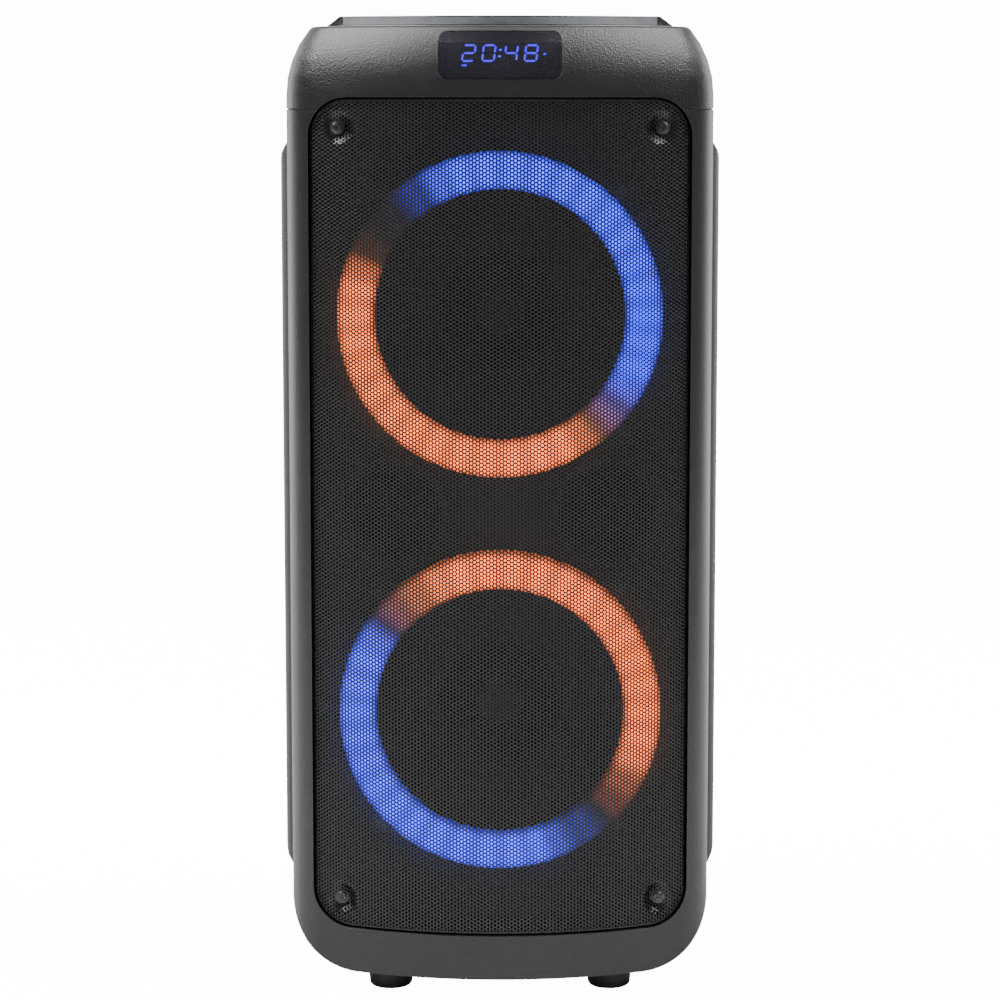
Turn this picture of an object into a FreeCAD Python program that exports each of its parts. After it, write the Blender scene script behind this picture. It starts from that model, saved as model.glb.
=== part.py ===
import FreeCAD
import Part
import math
import os
import Sketcher

# Party speaker: X to the right, the grille faces -Y, Z up, millimetres.
# The origin is on the floor, under the middle of the cabinet.

sizes = {
    # cabinet
    "body_width": 276,
    "body_depth": 275,
    "body_height": 613,
    "cap_height": 53,
    "frame_short": 5.4,
    "crown_radius": 235,
    "front_corner": 40,
    "rear_corner": 25,
    "bottom_corner": 44,
    "cabinet_wall": 6,
    "frame_wall": 4,
    "seat_width": 28,
    "seat_depth": 8,
    "fit_gap": 0.3,
    # grille opening and its screws
    "bezel_width": 15.5,
    "sill_height": 29,
    "brow_height": 45,
    "opening_corner": 25,
    "well_wall": 2.5,
    "grille_gap": 1.2,
    "grille_recess": 2.5,
    "grille_sheet": 1,
    "grille_fold": 9,
    "grille_screw_inset": 19,
    "grille_screw_drop": 19,
    "dimple_radius": 6,
    "screw_head": 4.5,
    "screw_head_height": 2.5,
    "washer_head_height": 1.8,
    "screw_shank": 2,
    "screw_hole_gap": 0.15,
    "standoff_radius": 5,
    "baffle_thickness": 15,
    "baffle_gap": 0.8,
    # leaning top
    "lean_radius": 65,
    "lean_angle": 40,
    "edge_radius": 5,
    "cap_wall": 4,
    "reveal_height": 0.6,
    "reveal_depth": 1,
    # control deck
    "deck_inset": 27,
    "rim_rise": 6.5,
    "rim_slope": 8,
    "rim_width": 8,
    "tray_depth": 14,
    "tray_floor": 3,
    "deck_ledge": 9,
    "trim_depth": 1.5,
    "trim_half_width": 101,
    "trim_height": 5,
    # controls
    "button_radius": 8,
    "button_rise": 2,
    "button_travel": 1,
    "button_flange": 1.5,
    "button_gap": 0.3,
    "button_pitch": 34,
    "button_row": -62,
    "knob_radius": 23,
    "knob_height": 12,
    "knob_row": -20,
    "shaft_radius": 3,
    "running_gap": 0.05,
    "board_thickness": 1.6,
    "board_drop": 12,
    "switch_size": 6,
    # display
    "window_width": 77,
    "window_base": 19,
    "window_height": 30,
    "window_corner": 5.7,
    "window_gap": 0.2,
    "lens_thickness": 2.5,
    "module_width": 66,
    "module_height": 17,
    "module_depth": 7,
    "module_lean": 22,
    "module_setback": 6.5,
    # woofers
    "woofer_pitch": 258.2,
    "woofer_rise": 1.7,
    "basket_radius": 104,
    "basket_mouth": 90,
    "basket_depth": 62,
    "basket_sheet": 2,
    "basket_straight": 11,
    "basket_waist": 45,
    "waist_flare": 13,
    "throat_flare": 6,
    "throat_rim": 4,
    "spider_setback": 11,
    "spider_border": 5,
    "ledge_gap": 0.2,
    "ledge_width": 4,
    "window_half": 15,
    "window_start": 22,
    "window_end": 42,
    "flange_thickness": 3,
    "ear_radius": 8,
    "ear_reach": 110,
    "cone_radius": 77,
    "cone_depth": 34,
    "cone_sheet": 1.5,
    "coil_radius": 25.4,
    "coil_wall": 0.6,
    "coil_winding": 0.5,
    "coil_clearance": 0.6,
    "cap_radius": 29,
    "cap_dome": 9,
    "roll_half_width": 4.5,
    "roll_radius": 4.8,
    "surround_sheet": 1,
    "magnet_radius": 55,
    "magnet_bore": 32,
    "magnet_height": 18,
    "plate_radius": 50,
    "plate_thickness": 6,
    # light rings
    "ring_radius": 104.75,
    "ring_hole": 80.5,
    "ring_clearance": 1.45,
    "ring_front": 3,
    "ring_skirt": 2,
    "ring_edge": 2,
    "led_gap": 3,
    # reflex ports
    "port_offset": 70,
    "port_flare": 36,
    "port_bore": 29,
    "port_wall": 2.5,
    "port_length": 120,
    # side pads and grips
    "pad_thickness": 6.5,
    "pad_start": 87.5,
    "pad_length": 150,
    "pad_base": 53,
    "pad_height": 487.5,
    "pad_taper": 15,
    "grip_start": 120,
    "grip_length": 96,
    "grip_height": 34,
    "grip_depth": 32,
    "grip_wall": 2.5,
    "grip_rise": 405,
    # feet
    "foot_height": 14,
    "foot_radius": 15,
    "foot_offset": 72,
    "foot_setback": 40,
    # rear panel
    "panel_width": 170,
    "panel_height": 150,
    "panel_base": 36,
    "panel_recess": 12,
    "panel_wall": 3,
    "inlet_width": 26,
    "inlet_height": 18,
    "inlet_depth": 16,
    "inlet_socket": 11,
    "pin_pitch": 8.6,
    "pin_radius": 1.2,
    "pin_length": 8,
    "socket_lobe": 3.8,
    "rocker_width": 9,
    "rocker_length": 15,
    "rocker_tilt": 9,
    "jack_bore": 3.25,
    "jack_radius": 6,
    "jack_length": 20,
    "usb_width": 12.4,
    "usb_height": 4.8,
    "small_knob_radius": 7,
    "small_knob_height": 9,
    "panel_side_column": 0.3,
    "panel_near_column": 0.12,
    "panel_low_row": 0.24,
    "panel_high_row": 0.72,
    # electronics
    "battery_width": 150,
    "battery_depth": 68,
    "battery_height": 44,
    "battery_setback": 48,
    "strap_half_width": 12,
    "board_setback": 24,
    "board_border": 8,
    "bracket_sheet": 1.5,
    "sink_width": 120,
    "sink_height": 40,
    "sink_depth": 30,
    "fin_pitch": 10,
    "fin_width": 2,
    "lead_radius": 1.25,
    "lead_bend": 18,
    # boxes that only cut reach this far past what they cut
    "cut_margin": 50,
}

doc = FreeCAD.newDocument("party_speaker")
sheet = doc.addObject("Spreadsheet::Sheet", "size")
for row, (alias, number) in enumerate(sizes.items(), start=1):
    sheet.set(f"A{row}", alias)
    sheet.set(f"B{row}", str(number))
    sheet.setAlias(f"B{row}", alias)
doc.recompute()

# Places that follow from the sizes, as expressions on the sheet
front = "(-size.body_depth / 2)"
back = "(size.body_depth / 2)"
half_width = "(size.body_width / 2)"
body_bottom = "size.foot_height"
body_top = "(size.foot_height + size.body_height)"
seam = f"({body_top} - size.cap_height)"
opening_half = f"({half_width} - size.bezel_width)"
opening_bottom = f"({body_bottom} + size.sill_height)"
opening_top = f"({body_top} - size.brow_height)"
baffle_top = f"({opening_top} + size.well_wall)"
woofer_middle = f"(({opening_bottom} + {opening_top}) / 2 + size.woofer_rise)"
corner_across = f"({half_width} - size.front_corner)"
corner_reach = "(size.crown_radius - size.front_corner)"
corner_along = f"sqrt({corner_reach} ^ 2 - {corner_across} ^ 2)"
widest = f"({front} + size.crown_radius - {corner_along})"
split = f"({widest} - size.frame_short)"
baffle_front = f"({split} - size.baffle_thickness)"
rim_top = f"({body_top} + size.rim_rise)"
tray_top = f"({rim_top} - size.tray_depth)"
tray_under = f"({tray_top} - size.tray_floor)"
board_top = f"({tray_under} - size.board_drop)"
panel_face = f"({back} - size.panel_recess)"
panel_bottom = f"({body_bottom} + size.panel_base)"
flange_front = f"({baffle_front} - size.flange_thickness)"
grille_back_radius = "(size.crown_radius - size.grille_recess - size.grille_sheet)"
grille_back_at_ring = (f"({front} + size.crown_radius"
                       f" - sqrt({grille_back_radius} ^ 2 - size.ring_radius ^ 2))")
ring_face = f"({grille_back_at_ring} + size.ring_clearance)"
margin = "size.cut_margin"

sub_parts = []
led_boards = []


def value(expression):
    return float(sheet.evalExpression(str(expression)))


def finished(thing, label):
    thing.Label = label
    sub_parts.append(thing)
    return thing


# A sketch whose corners are (x, y), or (x, y, radius, turn) where the edge that leaves
# the corner is an arc; turn is 1 for counter-clockwise and -1 for clockwise
def draw(sketch, corners, closed=True):
    points = [FreeCAD.Vector(value(corner[0]), value(corner[1]), 0) for corner in corners]
    count = len(corners)
    edge_count = count if closed else count - 1
    ends = []
    for i in range(edge_count):
        start = points[i]
        end = points[(i + 1) % count]
        if len(corners[i]) == 2:
            sketch.addGeometry(Part.LineSegment(start, end))
            ends.append((1, 2))
            continue
        radius = value(corners[i][2])
        turn = corners[i][3]
        chord = end - start
        rise = math.sqrt(max(radius ** 2 - (chord.Length / 2) ** 2, 0))
        normal = FreeCAD.Vector(-chord.y, chord.x, 0).normalize()
        centre = (start + end) / 2 + normal * rise * turn
        circle = Part.Circle(centre, FreeCAD.Vector(0, 0, 1), radius)
        first, last = (start, end) if turn > 0 else (end, start)
        begin = math.atan2(first.y - centre.y, first.x - centre.x)
        finish = math.atan2(last.y - centre.y, last.x - centre.x)
        if finish < begin:
            finish += 2 * math.pi
        sketch.addGeometry(Part.ArcOfCircle(circle, begin, finish))
        ends.append((1, 2) if turn > 0 else (2, 1))
    for i in range(edge_count):
        if i + 1 < edge_count or closed:
            after = (i + 1) % edge_count
            sketch.addConstraint(Sketcher.Constraint("Coincident", i, ends[i][1], after, ends[after][0]))
    for i in range(count):
        edge = min(i, edge_count - 1)
        end = ends[edge][0] if i == edge else ends[edge][1]
        for kind, column in (("DistanceX", 0), ("DistanceY", 1)):
            bound = Sketcher.Constraint(kind, edge, end, value(corners[i][column]))
            name = f"{kind}{i}"
            sketch.renameConstraint(sketch.addConstraint(bound), name)
            sketch.setExpression(f"Constraints.{name}", str(corners[i][column]))
        if len(corners[i]) == 4:
            bound = Sketcher.Constraint("Radius", i, value(corners[i][2]))
            sketch.renameConstraint(sketch.addConstraint(bound), f"Radius{i}")
            sketch.setExpression(f"Constraints.Radius{i}", str(corners[i][2]))
    return sketch


def place(thing, x="0", y="0", z="0"):
    for axis, expression in (("x", x), ("y", y), ("z", z)):
        thing.setExpression(f"Placement.Base.{axis}", str(expression))
    return thing


# Part primitives

def block(name, x, y, z):
    thing = doc.addObject("Part::Box", name)
    for side, (low, high) in (("Length", x), ("Width", y), ("Height", z)):
        thing.setExpression(side, f"{high} - ({low})")
    return place(thing, x[0], y[0], z[0])


def rod(name, radius, start, end, x="0", y="0", z="0", axis="Y"):
    thing = doc.addObject("Part::Cylinder", name)
    thing.setExpression("Radius", str(radius))
    thing.setExpression("Height", f"{end} - ({start})")
    if axis == "Y":
        thing.Placement.Rotation = FreeCAD.Rotation(FreeCAD.Vector(1, 0, 0), -90)
        return place(thing, x, start, z)
    return place(thing, x, y, start)


def cut(name, base, tools):
    thing = doc.addObject("Part::Cut", name)
    thing.Base = base
    thing.Tool = tools[0] if len(tools) == 1 else fuse(f"{name}_tools", tools)
    return thing


def fuse(name, pieces):
    thing = doc.addObject("Part::MultiFuse", name)
    thing.Shapes = pieces
    return thing


def common(name, first, second):
    thing = doc.addObject("Part::Common", name)
    thing.Base = first
    thing.Tool = second
    return thing


def group(name, pieces):
    thing = doc.addObject("Part::Compound", name)
    thing.Links = pieces
    return thing


# Flat outline in the XY plane (axis Z) or the XZ plane (axis Y), extruded from low to high
def prism(name, corners, low, high, axis="Z"):
    sketch = doc.addObject("Sketcher::SketchObject", f"{name}_outline")
    draw(sketch, corners)
    thing = doc.addObject("Part::Extrusion", name)
    thing.Base = sketch
    thing.DirMode = "Custom"
    thing.Solid = True
    thing.setExpression("LengthFwd", f"{high} - ({low})")
    if axis == "Z":
        thing.Dir = FreeCAD.Vector(0, 0, 1)
        place(sketch, z=low)
    else:
        sketch.Placement.Rotation = FreeCAD.Rotation(FreeCAD.Vector(1, 0, 0), 90)
        thing.Dir = FreeCAD.Vector(0, 1, 0)
        place(sketch, y=low)
    return thing


def rectangle(half, bottom, top, corner):
    return [
        (f"-({half} - {corner})", bottom),
        (f"{half} - {corner}", bottom, corner, 1),
        (half, f"{bottom} + {corner}"),
        (half, f"{top} - {corner}", corner, 1),
        (f"{half} - {corner}", top),
        (f"-({half} - {corner})", top, corner, 1),
        (f"-({half})", f"{top} - {corner}"),
        (f"-({half})", f"{bottom} + {corner}", corner, 1),
    ]


# Solid of revolution as a PartDesign body: (r, y) about Y, or (r, z) about Z
def turned(name, corners, axis="Y"):
    body = doc.addObject("PartDesign::Body", name)
    sketch = body.newObject("Sketcher::SketchObject", f"{name}_profile")
    role = "XY_Plane" if axis == "Y" else "XZ_Plane"
    plane = [feature for feature in body.Origin.OriginFeatures if feature.Role == role][0]
    sketch.AttachmentSupport = [(plane, "")]
    sketch.MapMode = "FlatFace"
    draw(sketch, corners)
    revolution = body.newObject("PartDesign::Revolution", f"{name}_revolution")
    revolution.Profile = sketch
    revolution.ReferenceAxis = (sketch, ["V_Axis"])
    revolution.Angle = 360
    return body


# Rounded outline padded as a PartDesign body, standing on a plane at right angles to the axis
def padded(name, corners, length, axis="Z"):
    body = doc.addObject("PartDesign::Body", name)
    sketch = body.newObject("Sketcher::SketchObject", f"{name}_profile")
    role = {"X": "YZ_Plane", "Y": "XZ_Plane", "Z": "XY_Plane"}[axis]
    plane = [feature for feature in body.Origin.OriginFeatures if feature.Role == role][0]
    sketch.AttachmentSupport = [(plane, "")]
    sketch.MapMode = "FlatFace"
    draw(sketch, corners)
    pad = body.newObject("PartDesign::Pad", f"{name}_pad")
    pad.Profile = sketch
    pad.setExpression("Length", str(length))
    pad.Reversed = axis == "Y"
    return body


# Plan of the cabinet: a crowned front, rounded corners and a flat back, moved in by inset
def plan(inset):
    crown = f"(size.crown_radius - {inset})"
    corner = f"(size.front_corner - {inset})"
    rear = f"(size.rear_corner - {inset})"
    join_x = f"({crown} * {corner_across} / {corner_reach})"
    join_y = f"({front} + size.crown_radius - {crown} * {corner_along} / {corner_reach})"
    side = f"({half_width} - {inset})"
    rear_x = f"({half_width} - size.rear_corner)"
    rear_y = f"({back} - size.rear_corner)"
    return [
        (f"-{join_x}", join_y, crown, 1),
        (join_x, join_y, corner, 1),
        (side, widest),
        (side, rear_y, rear, 1),
        (rear_x, f"{back} - {inset}"),
        (f"-{rear_x}", f"{back} - {inset}", rear, 1),
        (f"-{side}", rear_y),
        (f"-{side}", widest, corner, 1),
    ]


# Beyond the corner radius the rear corners of an inset plan are square
def square_plan(inset):
    crown = f"(size.crown_radius - {inset})"
    side = f"({half_width} - {inset})"
    edge_y = f"({front} + size.crown_radius - sqrt({crown} ^ 2 - {side} ^ 2))"
    return [
        (f"-{side}", edge_y, crown, 1),
        (side, edge_y),
        (side, f"{back} - {inset}"),
        (f"-{side}", f"{back} - {inset}"),
    ]


# Front view of the cabinet below the top cap, with rounded bottom corners
def elevation(inset, top):
    side = f"({half_width} - {inset})"
    bottom = f"({body_bottom} + {inset})"
    turn_x = f"({half_width} - size.bottom_corner)"
    turn_z = f"({body_bottom} + size.bottom_corner)"
    corner = f"(size.bottom_corner - {inset})"
    return [
        (f"-{side}", turn_z, corner, 1),
        (f"-{turn_x}", bottom),
        (turn_x, bottom, corner, 1),
        (side, turn_z),
        (side, top),
        (f"-{side}", top),
    ]


def hull(name, inset, top):
    upright = prism(f"{name}_plan", plan(inset), body_bottom, top)
    face = prism(f"{name}_front", elevation(inset, top), front, back, axis="Y")
    return common(name, upright, face)


# The leaning top: the plan drawn in along an arc, then round a small edge to the flat top
def leaning_top(name, inset, base):
    lean_base = (f"({body_top} - size.lean_radius * sin(size.lean_angle)"
                 f" - size.edge_radius * (1 - sin(size.lean_angle)))")
    steps = [("0", base), ("0", lean_base)]
    for share in (0.25, 0.5, 0.75, 1):
        angle = f"(size.lean_angle * {share})"
        steps.append((f"size.lean_radius * (1 - cos({angle}))",
                      f"{lean_base} + size.lean_radius * sin({angle})"))
    for share in (0.5, 1):
        angle = f"(size.lean_angle + (90 - size.lean_angle) * {share})"
        steps.append((f"size.lean_radius * (1 - cos(size.lean_angle))"
                      f" + size.edge_radius * (cos(size.lean_angle) - cos({angle}))",
                      f"{body_top} - size.edge_radius * (1 - sin({angle}))"))
    sections = []
    for number, (drawn_in, height) in enumerate(steps):
        sketch = doc.addObject("Sketcher::SketchObject", f"{name}_section_{number}")
        draw(sketch, plan(f"({drawn_in} + {inset})"))
        place(sketch, z=f"{height} - {inset}" if number else height)
        sections.append(sketch)
    loft = doc.addObject("Part::Loft", name)
    loft.Sections = sections
    loft.Solid = True
    loft.Ruled = True
    return loft


# Cabinet, front frame, top cap and baffle

def opening(name, outset, low, high):
    outline = rectangle(f"({opening_half} + {outset})", f"({opening_bottom} - ({outset}))",
                        f"({opening_top} + {outset})", f"(size.opening_corner + {outset})")
    return prism(name, outline, low, high, axis="Y")


def make_casing():
    body = hull("body_hull", "0", seam)
    far_left = f"(-{half_width} - {margin})"
    far_right = f"({half_width} + {margin})"
    far_back = f"({back} + {margin})"
    far_front = f"({front} - {margin})"
    rear_half = block("rear_half", (far_left, far_right), (split, far_back), ("0", seam))
    front_half = block("front_half", (far_left, far_right), (far_front, split), ("0", seam))

    rear_solid = common("rear_solid", body, rear_half)
    hollow = hull("rear_hollow", "size.cabinet_wall", f"({seam} - size.cabinet_wall)")
    seat_zone = block("seat_zone", (far_left, far_right), (split, f"{split} + size.seat_depth"),
                      ("0", seam))
    seat_ring = common("seat_ring", rear_solid, seat_zone)
    seat_window = block("seat_window",
                        (f"-({half_width} - size.seat_width)", f"{half_width} - size.seat_width"),
                        (far_front, far_back),
                        (f"{body_bottom} + size.seat_width", f"{seam} - size.seat_width"))
    shell = cut("rear_shell", rear_solid, [hollow])
    seat = cut("baffle_seat", seat_ring, [seat_window])
    box = fuse("rear_box", [shell, seat])
    cuts = [panel_cutout()] + grip_cutouts() + foot_screw_holes("rear") + baffle_screw_holes("rear")
    finished(cut("rear_cabinet", box, cuts), "rear_cabinet")

    front_solid = common("front_solid", body, front_half)
    frame_hollow = prism("frame_hollow_plan", plan("size.frame_wall"), body_bottom, f"{seam} + {margin}")
    frame_floor = prism("frame_hollow_front", elevation("size.frame_wall", f"({seam} + {margin})"),
                        front, back, axis="Y")
    frame_inside = common("frame_inside", frame_hollow, frame_floor)
    frame_shell = cut("frame_shell", front_solid, [frame_inside])
    well = opening("well_outside", "size.well_wall", far_front, baffle_front)
    frame_well = common("frame_well", front_solid, well)
    frame_body = fuse("frame_body", [frame_shell, frame_well])
    frame_cuts = [opening("frame_opening", "0", far_front, far_back)] + foot_screw_holes("front")
    finished(cut("front_frame", frame_body, frame_cuts), "front_frame")

    cap_outside = leaning_top("cap_outside", "0", seam)
    cap_inside = leaning_top("cap_inside", "size.cap_wall", f"({seam} - 1)")
    cap_shell = cut("cap_shell", cap_outside, [cap_inside])
    cap_well = common("cap_well", cap_outside,
                      opening("cap_well_outside", "size.well_wall", far_front, baffle_front))
    cap_body = fuse("cap_body", [cap_shell, cap_well])
    deck_hole = prism("deck_hole", square_plan(f"(size.deck_inset + size.deck_ledge - size.fit_gap)"),
                      seam, f"{body_top} + {margin}")
    window = window_prism("cap_window", "size.window_gap")
    reveal_zone = block("reveal_zone", (far_left, far_right), (far_front, far_back),
                        (f"({seam} - 1)", f"{seam} + size.reveal_height"))
    reveal_core = prism("reveal_core", plan("size.reveal_depth"), f"({seam} - 2)", body_top)
    reveal = cut("cap_reveal", reveal_zone, [reveal_core])
    cap_cuts = [opening("cap_opening", "0", far_front, split), deck_hole, window, reveal]
    finished(cut("top_cap", cap_body, cap_cuts), "top_cap")

    baffle_inset = "(size.frame_wall + size.baffle_gap)"
    board_plan = prism("baffle_plan", plan(baffle_inset), body_bottom, baffle_top)
    board_front = prism("baffle_outline", elevation(baffle_inset, baffle_top), baffle_front, split,
                        axis="Y")
    holes = baffle_screw_holes("baffle")
    for side, level in woofer_places():
        holes.append(rod(f"woofer_hole_{side}", "size.basket_mouth + size.basket_sheet + 2 * size.fit_gap",
                         baffle_front, split, z=level))
        for number, (x, z) in enumerate(ear_places(level)):
            holes.append(rod(f"ear_hole_{side}_{number}", "size.screw_shank + size.screw_hole_gap",
                             baffle_front, split, x=x, z=z))
    for side, sign in (("left", "-"), ("right", "")):
        holes.append(rod(f"port_hole_{side}", "size.port_bore + size.port_wall + size.fit_gap",
                         baffle_front, split, x=f"{sign}size.port_offset", z=woofer_middle))
    posts = []
    dimple_back = f"({dimple_floor()} + size.grille_sheet + size.screw_hole_gap)"
    for number, (x, z) in enumerate(grille_screw_places()):
        posts.append(rod(f"grille_post_{number}", "size.standoff_radius", dimple_back, baffle_front,
                         x=x, z=z))
        holes.append(rod(f"grille_post_bore_{number}", "size.screw_shank + size.screw_hole_gap",
                         f"({dimple_back} - 1)", f"({split} + 1)", x=x, z=z))
    board = fuse("baffle_with_posts", [common("baffle_board", board_plan, board_front)] + posts)
    finished(cut("front_baffle", board, holes), "front_baffle")


# The face that a screw head sits on, deep enough for the dimple's rim to stay behind the crown all round
def dimple_floor():
    crown = "(size.crown_radius - size.grille_recess)"
    reach = f"({opening_half} - size.grille_screw_inset + size.dimple_radius + size.grille_sheet)"
    return f"({front} + size.crown_radius - sqrt({crown} ^ 2 - {reach} ^ 2))"


def woofer_places():
    return [("upper", f"({woofer_middle} + size.woofer_pitch / 2)"),
            ("lower", f"({woofer_middle} - size.woofer_pitch / 2)")]


def ear_places(level):
    reach = "(size.ear_reach * sqrt(0.5))"
    return [(f"{sx}{reach}", f"{level} {sz} {reach}") for sx in ("-", "") for sz in ("+", "-")]


def grille_screw_places():
    x = f"({opening_half} - size.grille_screw_inset)"
    low = f"({opening_bottom} + size.grille_screw_drop)"
    high = f"({opening_top} - size.grille_screw_drop)"
    return [(f"{sign}{x}", z) for sign in ("-", "") for z in (low, high)]


def baffle_screw_places():
    x = f"({opening_half} - size.screw_head - 2 * size.fit_gap)"
    upper, lower = (level for side, level in woofer_places())
    return [(f"{sign}{x}", z) for sign in ("-", "") for z in (lower, woofer_middle, upper)]


def baffle_screw_holes(name):
    start, end = (split, f"{split} + size.seat_depth") if name == "rear" else (baffle_front, split)
    return [rod(f"{name}_baffle_screw_hole_{number}", "size.screw_shank + size.screw_hole_gap", start, end, x=x, z=z)
            for number, (x, z) in enumerate(baffle_screw_places())]


# Grille: a crowned steel sheet with its edge folded back, held by four screws on stand-offs

def grille_outline(name, inset, low, high):
    return opening(name, f"(-size.grille_gap - {inset})", low, high)


def make_grille():
    skin = "size.grille_recess"
    under = "(size.grille_recess + size.grille_sheet)"
    far_front = f"({front} - {margin})"
    outer = prism("grille_front_plan", plan(skin), body_bottom, body_top)
    inner = prism("grille_back_plan", plan(under), "0", f"{body_top} + {margin}")
    folded = prism("grille_fold_plan", plan(f"({under} + size.grille_fold)"), "0", f"{body_top} + {margin}")
    behind_fold = block("behind_fold", (f"-{half_width}", half_width),
                        (f"({baffle_front} - size.screw_head_height - 0.5)", back), ("0", body_top))
    pan = common("grille_pan", cut("grille_thick", outer, [folded, behind_fold]),
                 grille_outline("grille_edge", "0", far_front, split))
    inside = common("grille_inside", inner,
                    grille_outline("grille_inner_edge", "size.grille_sheet", far_front, back))
    sheet_body = cut("grille_sheet_body", pan, [inside])
    seat_front = dimple_floor()
    cups = []
    openings = []
    for number, (x, z) in enumerate(grille_screw_places()):
        cup = rod(f"dimple_outside_{number}", "size.dimple_radius + size.grille_sheet", far_front,
                  f"({seat_front} + size.grille_sheet)", x=x, z=z)
        cups.append(common(f"dimple_cup_{number}", outer, cup))
        openings.append(rod(f"dimple_inside_{number}", "size.dimple_radius", far_front, seat_front,
                            x=x, z=z))
        openings.append(rod(f"grille_hole_{number}", "size.screw_shank + size.screw_hole_gap",
                            far_front, split, x=x, z=z))
    finished(cut("grille", fuse("grille_with_dimples", [sheet_body] + cups), openings), "grille")

    screws = []
    for number, (x, z) in enumerate(grille_screw_places()):
        head = rod(f"grille_screw_head_{number}", "size.screw_head",
                   f"({seat_front} - size.washer_head_height)", seat_front, x=x, z=z)
        shank = rod(f"grille_screw_shank_{number}", "size.screw_shank", seat_front,
                    f"({baffle_front} + size.baffle_thickness / 2)", x=x, z=z)
        screws.append(fuse(f"grille_screw_{number}", [head, shank]))
    finished(group("grille_screws", screws), "grille_screws")


def baffle_screws():
    screws = []
    for number, (x, z) in enumerate(baffle_screw_places()):
        head = rod(f"baffle_screw_head_{number}", "size.screw_head",
                   f"({baffle_front} - size.screw_head_height)", baffle_front, x=x, z=z)
        shank = rod(f"baffle_screw_shank_{number}", "size.screw_shank", baffle_front,
                    f"({split} + size.seat_depth)", x=x, z=z)
        screws.append(fuse(f"baffle_screw_{number}", [head, shank]))
    return screws


# Woofers: (r, y) profiles about each driver's own axis

def behind(distance):
    return f"({flange_front} + {distance})"


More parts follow.
